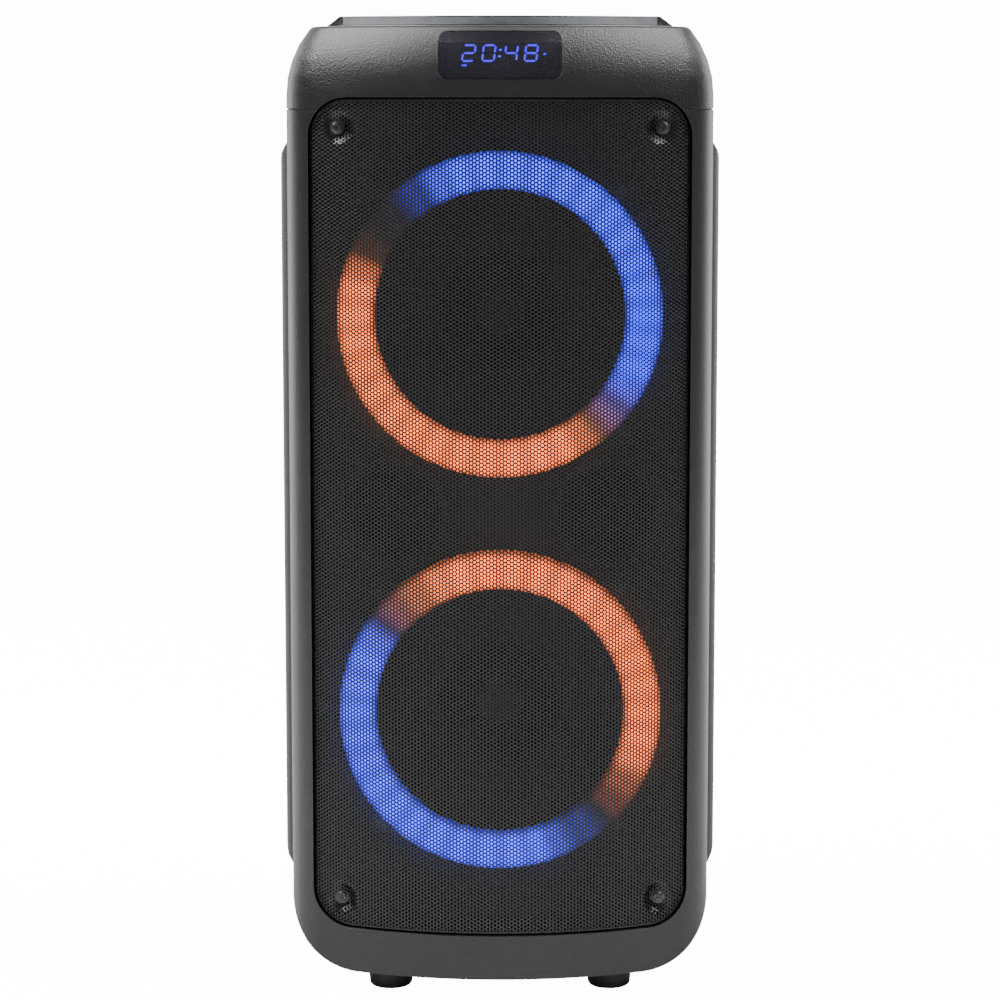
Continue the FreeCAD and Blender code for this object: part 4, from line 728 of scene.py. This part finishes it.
display = {
    "figures": "2048",
    "centres": (-0.0196, -0.0070, 0.0070, 0.0196),
    "width": 0.0074,
    "height": 0.0106,
    "stroke": 0.0013,
    "gap": 0.0004,
    "lift": 0.0022,
    "raise": 0.0002,
    "lean": 22,
    "module": 0.017,  # height of the module's face
    "dots": {(0, 0.0022): 0.3, (0, -0.0022): 0.3, (-0.0215, -0.0082): 0.5, (0.0282, -0.0006): 0.3},
    "slant": 0.12,
    "strength": 7.0,
}
litBars = {"0": "abcdef", "2": "abged", "4": "fgbc", "8": "abcdefg"}


def makeBar(length):
    bpy.ops.object.select_all(action="DESELECT")
    bpy.ops.mesh.primitive_plane_add(size=1)
    bar = bpy.context.object
    bar.scale = (length, display["stroke"], 1)
    settle(bar)
    startEditing(bar, "VERT")
    bpy.ops.mesh.select_all(action="SELECT")
    bpy.ops.mesh.bevel(offset=display["stroke"] * 0.49, offset_type="OFFSET", segments=1, affect="VERTICES")
    bpy.ops.mesh.select_mode(type="FACE")
    bpy.ops.mesh.select_all(action="SELECT")
    bpy.ops.mesh.extrude_region_move(TRANSFORM_OT_translate={"value": (0, 0, display["raise"])})
    bpy.ops.mesh.select_all(action="SELECT")
    bpy.ops.mesh.normals_make_consistent(inside=False)
    stopEditing()
    return bar


def makeFigures():
    half = display["height"] / 2
    across = makeBar(display["width"] - 2 * display["gap"])
    upright = makeBar(half - 2 * display["gap"])
    upright.rotation_euler = (0, 0, math.radians(90))
    settle(upright)
    side = display["width"] / 2
    places = {"a": (0, half), "g": (0, 0), "d": (0, -half), "f": (-side, half / 2), "b": (side, half / 2),
              "e": (-side, -half / 2), "c": (side, -half / 2)}
    bars = []
    for figure, centre in zip(display["figures"], display["centres"]):
        for letter in litBars[figure]:
            x, y = places[letter]
            bar = copied(across if letter in "agd" else upright, "bar" + str(len(bars)))
            bar.location = (centre + x, y, 0)
            bars.append(settle(bar))
    for (x, y), size in display["dots"].items():
        dot = copied(across, "dot" + str(len(bars)))
        dot.scale = (size, 1, 1)
        dot.location = (x, y, 0)
        bars.append(settle(dot))
    bpy.data.objects.remove(across)
    bpy.data.objects.remove(upright)
    figures = joined(bars, "displayFigures")
    slanted = Matrix.Identity(4)
    slanted[0][1] = display["slant"]
    figures.data.transform(slanted)
    low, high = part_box("display_module")
    lean = math.radians(display["lean"])
    figures.rotation_euler = (math.radians(90) - lean, 0, 0)
    bottom = high.z - display["module"] * math.cos(lean)
    rise = display["module"] / 2 + display["lift"]
    figures.location = (0, low.y + rise * math.sin(lean) - display["raise"], bottom + rise * math.cos(lean))
    return settle(figures)


def figureLight():
    paint = Paint("figureLight", {"Base Color": tint("1a1530"), "Roughness": 0.4,
                                  "Emission Strength": display["strength"]})
    cells = paint.noise(0.0016, 2)
    paint.set("Emission Color", paint.blend(paint.ramp(cells, 0.3, 0.7), tint("3312e8"), tint("4a2cff")))
    return paint.material


def smokedLens():
    paint = Paint("smokedLens", {"IOR": 1.3, "Alpha": 0.5})
    haze = paint.noise(0.03, 3)
    paint.set("Base Color", paint.blend(haze, tint("25242b"), tint("302e37")))
    paint.set("Roughness", 0.24 + haze * 0.08)
    return paint.material


dressed(makeFigures(), "casing", figureLight())
cadDressed("display_module", moduleBlack)
cadDressed("display_lens", smokedLens())
print("display lit")


# Controls on top: a fluted volume knob, and raised marks on the buttons

knob = {
    "height": 0.012,
    "flutes": 72,
    "fluteDepth": 0.0004,
    "fluteEdge": 0.00045,
    "fluteFlank": 0.0002,
    "border": 0.0014,
    "dish": 0.0007,
    "dishFlank": 0.0006,
    "rounding": 0.0005,
    "shaft": 0.003,
    "shaftOverlap": 0.001,
    "mark": (0.0008, 0.0042),
    "markAt": 0.0175,
}


def makeKnob():
    low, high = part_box("volume_knob")
    middle = (low + high) / 2
    radius = (high.x - low.x) / 2
    bpy.ops.object.select_all(action="DESELECT")
    bpy.ops.mesh.primitive_cylinder_add(vertices=knob["flutes"], radius=radius - knob["fluteDepth"] / 2,
                                        depth=knob["height"],
                                        location=(middle.x, middle.y, high.z - knob["height"] / 2))
    body = settle(bpy.context.object, "volumeKnob")
    startEditing(body)
    pickFaces(body, lambda place, normal: normal.z > 0.9)
    bpy.ops.mesh.inset(thickness=knob["border"])
    bpy.ops.mesh.inset(thickness=knob["dishFlank"], depth=-knob["dish"])
    pickFaces(body, lambda place, normal: abs(normal.z) < 0.1)
    bpy.ops.mesh.inset(thickness=knob["fluteEdge"], depth=0.0, use_individual=True)
    bpy.ops.mesh.inset(thickness=knob["fluteFlank"], depth=knob["fluteDepth"] / 2, use_individual=True)
    stopEditing()
    rounded(body, knob["rounding"], 3, 50)
    shaftTop = high.z - knob["height"] + knob["shaftOverlap"]
    bpy.ops.object.select_all(action="DESELECT")
    bpy.ops.mesh.primitive_cylinder_add(vertices=32, radius=knob["shaft"], depth=shaftTop - low.z,
                                        location=(middle.x, middle.y, (low.z + shaftTop) / 2))
    shaft = settle(bpy.context.object, "knobShaft")
    return smoothed(joined([body, shaft], "volumeKnob"), 30)


volumeKnob = dressed(makeKnob(), "volume_knob", knobMetal)
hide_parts("volume_knob")

# arrows: their place and turn; bars: their place; both in sizes across the mark
marks = {
    "size": 0.0029,
    "stroke": 0.0006,
    "raise": 0.00018,
    "powerGap": 32,
    "powerBar": 0.75,
    "rays": 8,
    "rayLength": 0.4,
    "sun": 0.5,
    "previous": {"arrow": 0.65, "arrows": ((0.6, 90), (-0.35, 90)), "bar": 1.15, "bars": (-1.1,)},
    "play": {"arrow": 0.75, "arrows": ((-0.55, -90),), "bar": 1.3, "bars": (0.5, 0.95)},
    "next": {"arrow": 0.65, "arrows": ((-0.6, -90), (0.35, -90)), "bar": 1.15, "bars": (1.1,)},
}


def raisedFlat(piece):
    # a flat shape given a little height
    startEditing(piece)
    bpy.ops.mesh.select_all(action="SELECT")
    bpy.ops.mesh.extrude_region_move(TRANSFORM_OT_translate={"value": (0, 0, marks["raise"])})
    bpy.ops.mesh.select_all(action="SELECT")
    bpy.ops.mesh.normals_make_consistent(inside=False)
    stopEditing()
    return piece


def flatBar(length, width, place, turn=0):
    bpy.ops.object.select_all(action="DESELECT")
    bpy.ops.mesh.primitive_plane_add(size=1, location=(*place, 0), rotation=(0, 0, math.radians(turn)))
    bar = bpy.context.object
    bar.scale = (length, width, 1)
    return raisedFlat(settle(bar))


def flatArrow(radius, place, turn):
    bpy.ops.object.select_all(action="DESELECT")
    bpy.ops.mesh.primitive_circle_add(vertices=3, radius=radius, fill_type="NGON", location=(*place, 0),
                                      rotation=(0, 0, math.radians(turn)))
    return raisedFlat(settle(bpy.context.object))


def flatRing(radius, gap=0):
    # a band, open by the gap in degrees either side of its top
    bpy.ops.object.select_all(action="DESELECT")
    bpy.ops.mesh.primitive_circle_add(vertices=40, radius=radius)
    ringMark = settle(bpy.context.object)
    startEditing(ringMark, "EDGE")
    bpy.ops.mesh.select_all(action="SELECT")
    bpy.ops.mesh.extrude_edges_move()
    bpy.ops.transform.resize(value=(1 - marks["stroke"] / radius,) * 2 + (1,), center_override=(0, 0, 0))
    bpy.ops.mesh.select_mode(type="FACE")
    pickFaces(ringMark, lambda place, normal: abs(math.degrees(math.atan2(place.x, place.y))) < gap)
    bpy.ops.mesh.delete(type="FACE")
    stopEditing()
    return raisedFlat(ringMark)


def buttonMark(name):
    size, stroke = marks["size"], marks["stroke"]
    if name == "power":
        return [flatRing(size, marks["powerGap"]), flatBar(stroke, size, (0, size * marks["powerBar"]))]
    if name == "light":
        turns = [math.tau * step / marks["rays"] for step in range(marks["rays"])]
        rays = [flatBar(size * marks["rayLength"], stroke, (size * math.cos(turn), size * math.sin(turn)),
                        math.degrees(turn)) for turn in turns]
        return [flatRing(size * marks["sun"])] + rays
    shape = marks[name]
    arrows = [flatArrow(size * shape["arrow"], (size * x, 0), turn) for x, turn in shape["arrows"]]
    return arrows + [flatBar(stroke, size * shape["bar"], (size * x, 0)) for x in shape["bars"]]


markWhite = mouldedPlastic("markWhite", "b4b6b8", "c9cbcc", 0.5, 0.0006, 0.00002)
for name in ("power", "previous", "play", "next", "light"):
    low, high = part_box(name + "_button")
    mark = joined(buttonMark(name), name + "Mark")
    mark.location = ((low.x + high.x) / 2, (low.y + high.y) / 2, high.z)
    dressed(settle(mark), name + "_button", markWhite)
low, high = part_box("volume_knob")
pointer = flatBar(*knob["mark"], (0, knob["markAt"]))
pointer.location = ((low.x + high.x) / 2, (low.y + high.y) / 2, high.z - knob["dish"])
dressed(settle(pointer, "volumeMark"), "volume_knob", markWhite)
print("top controls finished")


# Rear panel: fluted level knobs with scales, a rounded rocker, and panel screws

level = {
    "flutes": 24,
    "grip": 0.009,
    "shrink": 0.0002,
    "fluteEdge": 0.0004,
    "fluteFlank": 0.0002,
    "fluteDepth": 0.0003,
    "border": 0.0009,
    "dish": 0.0004,
    "dishFlank": 0.0003,
    "rounding": 0.0003,
    "shaft": 0.003,
    "shaftOverlap": 0.001,
    "line": (0.0007, 0.0036),
    "lineAt": 0.0036,
    "ticks": 11,
    "sweep": 270,
    "tick": (0.0016, 0.0004),
    "tickAt": 0.0094,
}


def makeLevelKnob(node):
    low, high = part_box(node)
    middle = (low + high) / 2
    bpy.ops.object.select_all(action="DESELECT")
    bpy.ops.mesh.primitive_cylinder_add(vertices=level["flutes"], depth=level["grip"],
                                        radius=(high.x - low.x) / 2 - level["shrink"],
                                        location=(middle.x, high.y - level["grip"] / 2, middle.z),
                                        rotation=(math.radians(90), 0, 0))
    grip = settle(bpy.context.object, node + "_fluted")
    startEditing(grip)
    pickFaces(grip, lambda place, normal: abs(normal.y) < 0.1)
    bpy.ops.mesh.inset(thickness=level["fluteEdge"], depth=0.0, use_individual=True)
    bpy.ops.mesh.inset(thickness=level["fluteFlank"], depth=-level["fluteDepth"], use_individual=True)
    pickFaces(grip, lambda place, normal: normal.y > 0.9)
    bpy.ops.mesh.inset(thickness=level["border"])
    bpy.ops.mesh.inset(thickness=level["dishFlank"], depth=-level["dish"])
    stopEditing()
    rounded(grip, level["rounding"], 2, 50)
    bpy.ops.object.select_all(action="DESELECT")
    length = high.y - level["grip"] - low.y + level["shaftOverlap"]
    bpy.ops.mesh.primitive_cylinder_add(vertices=24, radius=level["shaft"], depth=length,
                                        location=(middle.x, low.y + length / 2, middle.z),
                                        rotation=(math.radians(90), 0, 0))
    return smoothed(joined([grip, settle(bpy.context.object)], node + "_fluted"), 30)


def ontoBack(piece, place, name):
    # from flat on the ground plane to flat on a face that looks backwards
    piece.rotation_euler = (math.radians(-90), math.radians(180), 0)
    piece.location = place
    return settle(piece, name)


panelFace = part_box("mains_inlet")[1].y
for node in ("mic_knob", "echo_knob"):
    fluted = dressed(makeLevelKnob(node), node, smallKnobPlastic)
    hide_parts(node)
    low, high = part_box(node)
    middle = (low + high) / 2
    line = ontoBack(flatBar(*level["line"], (0, level["lineAt"])),
                    (middle.x, high.y - level["dish"], middle.z), node + "_line")
    dressed(line, node, markWhite)
    ticks = []
    for number in range(level["ticks"]):
        turn = math.radians(90 + level["sweep"] * (0.5 - number / (level["ticks"] - 1)))
        spot = (level["tickAt"] * math.cos(turn), level["tickAt"] * math.sin(turn))
        ticks.append(flatBar(*level["tick"], spot, math.degrees(turn)))
    scale = ontoBack(joined(ticks, node + "_scale"), (middle.x, panelFace, middle.z), node + "_scale")
    dressed(scale, "casing", markWhite)

rockerEdge = 0.0006
rocker = mergedCopy("power_rocker", "powerRocker")
rounded(rocker, rockerEdge, 3, 25)
dressed(smoothed(rocker, 40), "power_rocker", rockerPlastic)
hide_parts("power_rocker")

panelScrew = {
    "radius": 0.003,
    "height": 0.0014,
    "rounding": 0.0006,
    "blade": (0.0032, 0.0016, 0.0006),
    "inset": 0.008,
    "turn": (23, 37),
}
panelLow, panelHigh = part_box("rear_panel")


def makePanelScrew():
    bpy.ops.object.select_all(action="DESELECT")
    bpy.ops.mesh.primitive_cylinder_add(vertices=32, radius=panelScrew["radius"],
                                        depth=panelScrew["height"], rotation=(math.radians(90), 0, 0),
                                        location=(0, panelScrew["height"] / 2, 0))
    screw = settle(bpy.context.object, "panelScrewPattern")
    rounded(screw, panelScrew["rounding"], 3, 50)
    crossCut(screw, panelScrew["blade"], panelScrew["height"])
    return smoothed(screw, 35)


screwPattern = makePanelScrew()
inset = panelScrew["inset"]
corners = [(x, z) for x in (panelLow.x + inset, panelHigh.x - inset)
           for z in (panelLow.z + inset, panelHigh.z - inset)]
for number, (x, z) in enumerate(corners):
    screw = copied(screwPattern, "panelScrew" + str(number + 1))
    firstTurn, turnStep = panelScrew["turn"]
    screw.rotation_euler = (0, math.radians(firstTurn + turnStep * number), 0)
    screw.location = (x, panelFace, z)
    dressed(settle(screw), "casing", screwSteel)
bpy.data.objects.remove(screwPattern)
print("rear panel finished")


# Surrounds: cut into sectors between the basket and the cone

surround = {"sectors": 8, "inner": 0.079}


def makeSurround(side):
    whole = mergedCopy("surround_" + side, "surroundWhole", False)
    low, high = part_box("surround_" + side)
    middle = (low + high) / 2
    half = math.pi / surround["sectors"]
    for number in range(surround["sectors"]):
        aim = 2 * half * number
        sector = copied(whole, "surround_" + side + "_" + str(number + 1))
        startEditing(sector)
        for turn in (aim - half, aim + half):
            # the plane through the axis keeps the side that the sector is on
            keep = 1 if turn < aim else -1
            bpy.ops.mesh.select_all(action="SELECT")
            bpy.ops.mesh.bisect(plane_co=middle, plane_no=(-keep * math.sin(turn), 0, keep * math.cos(turn)),
                                clear_inner=True, use_fill=True)
        stopEditing()
        sector.data.materials.clear()
        sector.data.materials.append(surroundRubber)
        smoothed(sector, 40)
        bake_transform(sector)
        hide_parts("surround_" + side)
    bpy.data.objects.remove(whole)


for side in ("upper", "lower"):
    makeSurround(side)


# Everything that keeps its CAD shape

kept = {
    "front_baffle": (baffleBoard, "baffle_board"),
    "rear_panel": (panelPlastic, "panel_plastic"),
    "wood_screws": (screwSteel, "screw_steel"),
    "foot_screws": (zincSteel, "screw_steel"),
    "control_board": (boardGreen, "circuit_board"),
    "volume_encoder": (encoderMetal, "encoder_metal"),
    "led_boards": (boardWhite, "led_board_white"),
    "port_tube_left": (portPlastic, "port_plastic"),
    "port_tube_right": (portPlastic, "port_plastic"),
    "mic_jacks": (jackMetal, "jack_metal"),
    "usb_socket": (jackMetal, "jack_metal"),
    "amplifier_board": (boardGreen, "circuit_board"),
    "battery_strap": (zincSteel, "strap_steel"),
    "speaker_leads": (leadInsulation, "lead_insulation"),
}
for name in ("power", "previous", "play", "next", "light"):
    kept[name + "_button"] = (buttonPlastic, "button_plastic")
for side in ("upper", "lower"):
    kept["woofer_basket_" + side] = (basketSteel, "basket_steel")
    kept["front_plate_" + side] = (plateSteel, "plate_steel")
    kept["pole_yoke_" + side] = (plateSteel, "plate_steel")
    kept["magnet_" + side] = (magnetFerrite, "ferrite")
    kept["cone_" + side] = (conePaper, "cone_paper")
    kept["dust_cap_" + side] = (capPaper, "dust_cap_paper")
    kept["voice_coil_" + side] = (coilMetal, "coil_metal")
    kept["spider_" + side] = (spiderCloth, "spider_cloth")
for node, (material, slotName) in kept.items():
    cadDressed(node, material)
print("inner parts finished")


# Studio: a pale round floor, softboxes and the camera

studio = {
    "floorRadius": 9.0,
    "rim": 0.3,
    "world": 0.12,
    "backdrop": 14.0,
    "floorGlow": 14.0,
    "boxes": [
        {"name": "overheadLeft", "place": (-1.0, -0.15, 1.9), "aim": (0, 0, 0.5), "size": (1.0, 1.3),
         "power": 72},
        {"name": "overheadRight", "place": (1.0, -0.15, 1.9), "aim": (0, 0, 0.5), "size": (1.0, 1.3),
         "power": 54},
        {"name": "sideLeft", "place": (-1.35, 1.45, 0.6), "aim": (0, 0, 0.35), "size": (0.9, 1.6),
         "power": 18},
        {"name": "sideRight", "place": (1.35, 1.45, 0.6), "aim": (0, 0, 0.35), "size": (0.9, 1.6),
         "power": 18},
        {"name": "front", "place": (0, -2.8, 1.6), "aim": (0, 0, 0.3), "size": (1.6, 0.8), "power": 5},
        {"name": "behind", "place": (0, 2.4, 1.5), "aim": (0, 0, 0.4), "size": (1.8, 1.0), "power": 22},
    ],
    "cameraPlace": (0, -2.0905, 0.586),
    "cameraTilt": 82.48,
    "lens": 111.6,
}


def makeFloor():
    # pale paper that stays white to the lens without throwing its light on the object
    bpy.ops.object.select_all(action="DESELECT")
    bpy.ops.mesh.primitive_circle_add(vertices=96, radius=studio["floorRadius"], fill_type="NGON")
    floor = bpy.context.object
    floor.name = "studioFloor"
    startEditing(floor)
    bpy.ops.mesh.select_all(action="SELECT")
    bpy.ops.mesh.inset(thickness=studio["rim"])
    stopEditing()
    paint = Paint("floorPaper", {"Roughness": 0.85, "Emission Strength": studio["floorGlow"]})
    paint.set("Base Color", paint.blend(paint.noise(0.6, 3), tint("ecebe9"), tint("f2f1ef")))
    toLens = paint.node("ShaderNodeLightPath", output="Is Camera Ray")
    paint.set("Emission Color", paint.blend(toLens, tint("000000"), tint("ffffff")))
    floor.data.materials.append(paint.material)


def makeLights():
    world = bpy.data.worlds.new("studioWorld")
    bpy.context.scene.world = world
    world.use_nodes = True
    sky = world.node_tree.nodes["Background"]
    toLens = world.node_tree.nodes.new("ShaderNodeLightPath")
    level = world.node_tree.nodes.new("ShaderNodeMapRange")
    level.inputs["To Min"].default_value = studio["world"]
    level.inputs["To Max"].default_value = studio["backdrop"]
    world.node_tree.links.new(toLens.outputs["Is Camera Ray"], level.inputs["Value"])
    world.node_tree.links.new(level.outputs["Result"], sky.inputs["Strength"])
    sky.inputs["Color"].default_value = (1.0, 1.0, 1.0, 1.0)
    for box in studio["boxes"]:
        lamp = bpy.data.lights.new(box["name"] + "Softbox", "AREA")
        lamp.shape = "RECTANGLE"
        lamp.size, lamp.size_y = box["size"]
        lamp.energy = box["power"]
        holder = bpy.data.objects.new(box["name"] + "Softbox", lamp)
        bpy.context.collection.objects.link(holder)
        holder.location = box["place"]
        towards = Vector(box["aim"]) - Vector(box["place"])
        holder.rotation_euler = towards.to_track_quat("-Z", "Y").to_euler()


def makeCamera():
    view = bpy.data.cameras.new("studioCamera")
    view.lens = studio["lens"]
    camera = bpy.data.objects.new("studioCamera", view)
    bpy.context.collection.objects.link(camera)
    camera.location = studio["cameraPlace"]
    camera.rotation_euler = (math.radians(studio["cameraTilt"]), 0, 0)
    bpy.context.scene.camera = camera


makeFloor()
makeLights()
makeCamera()
print("studio set")
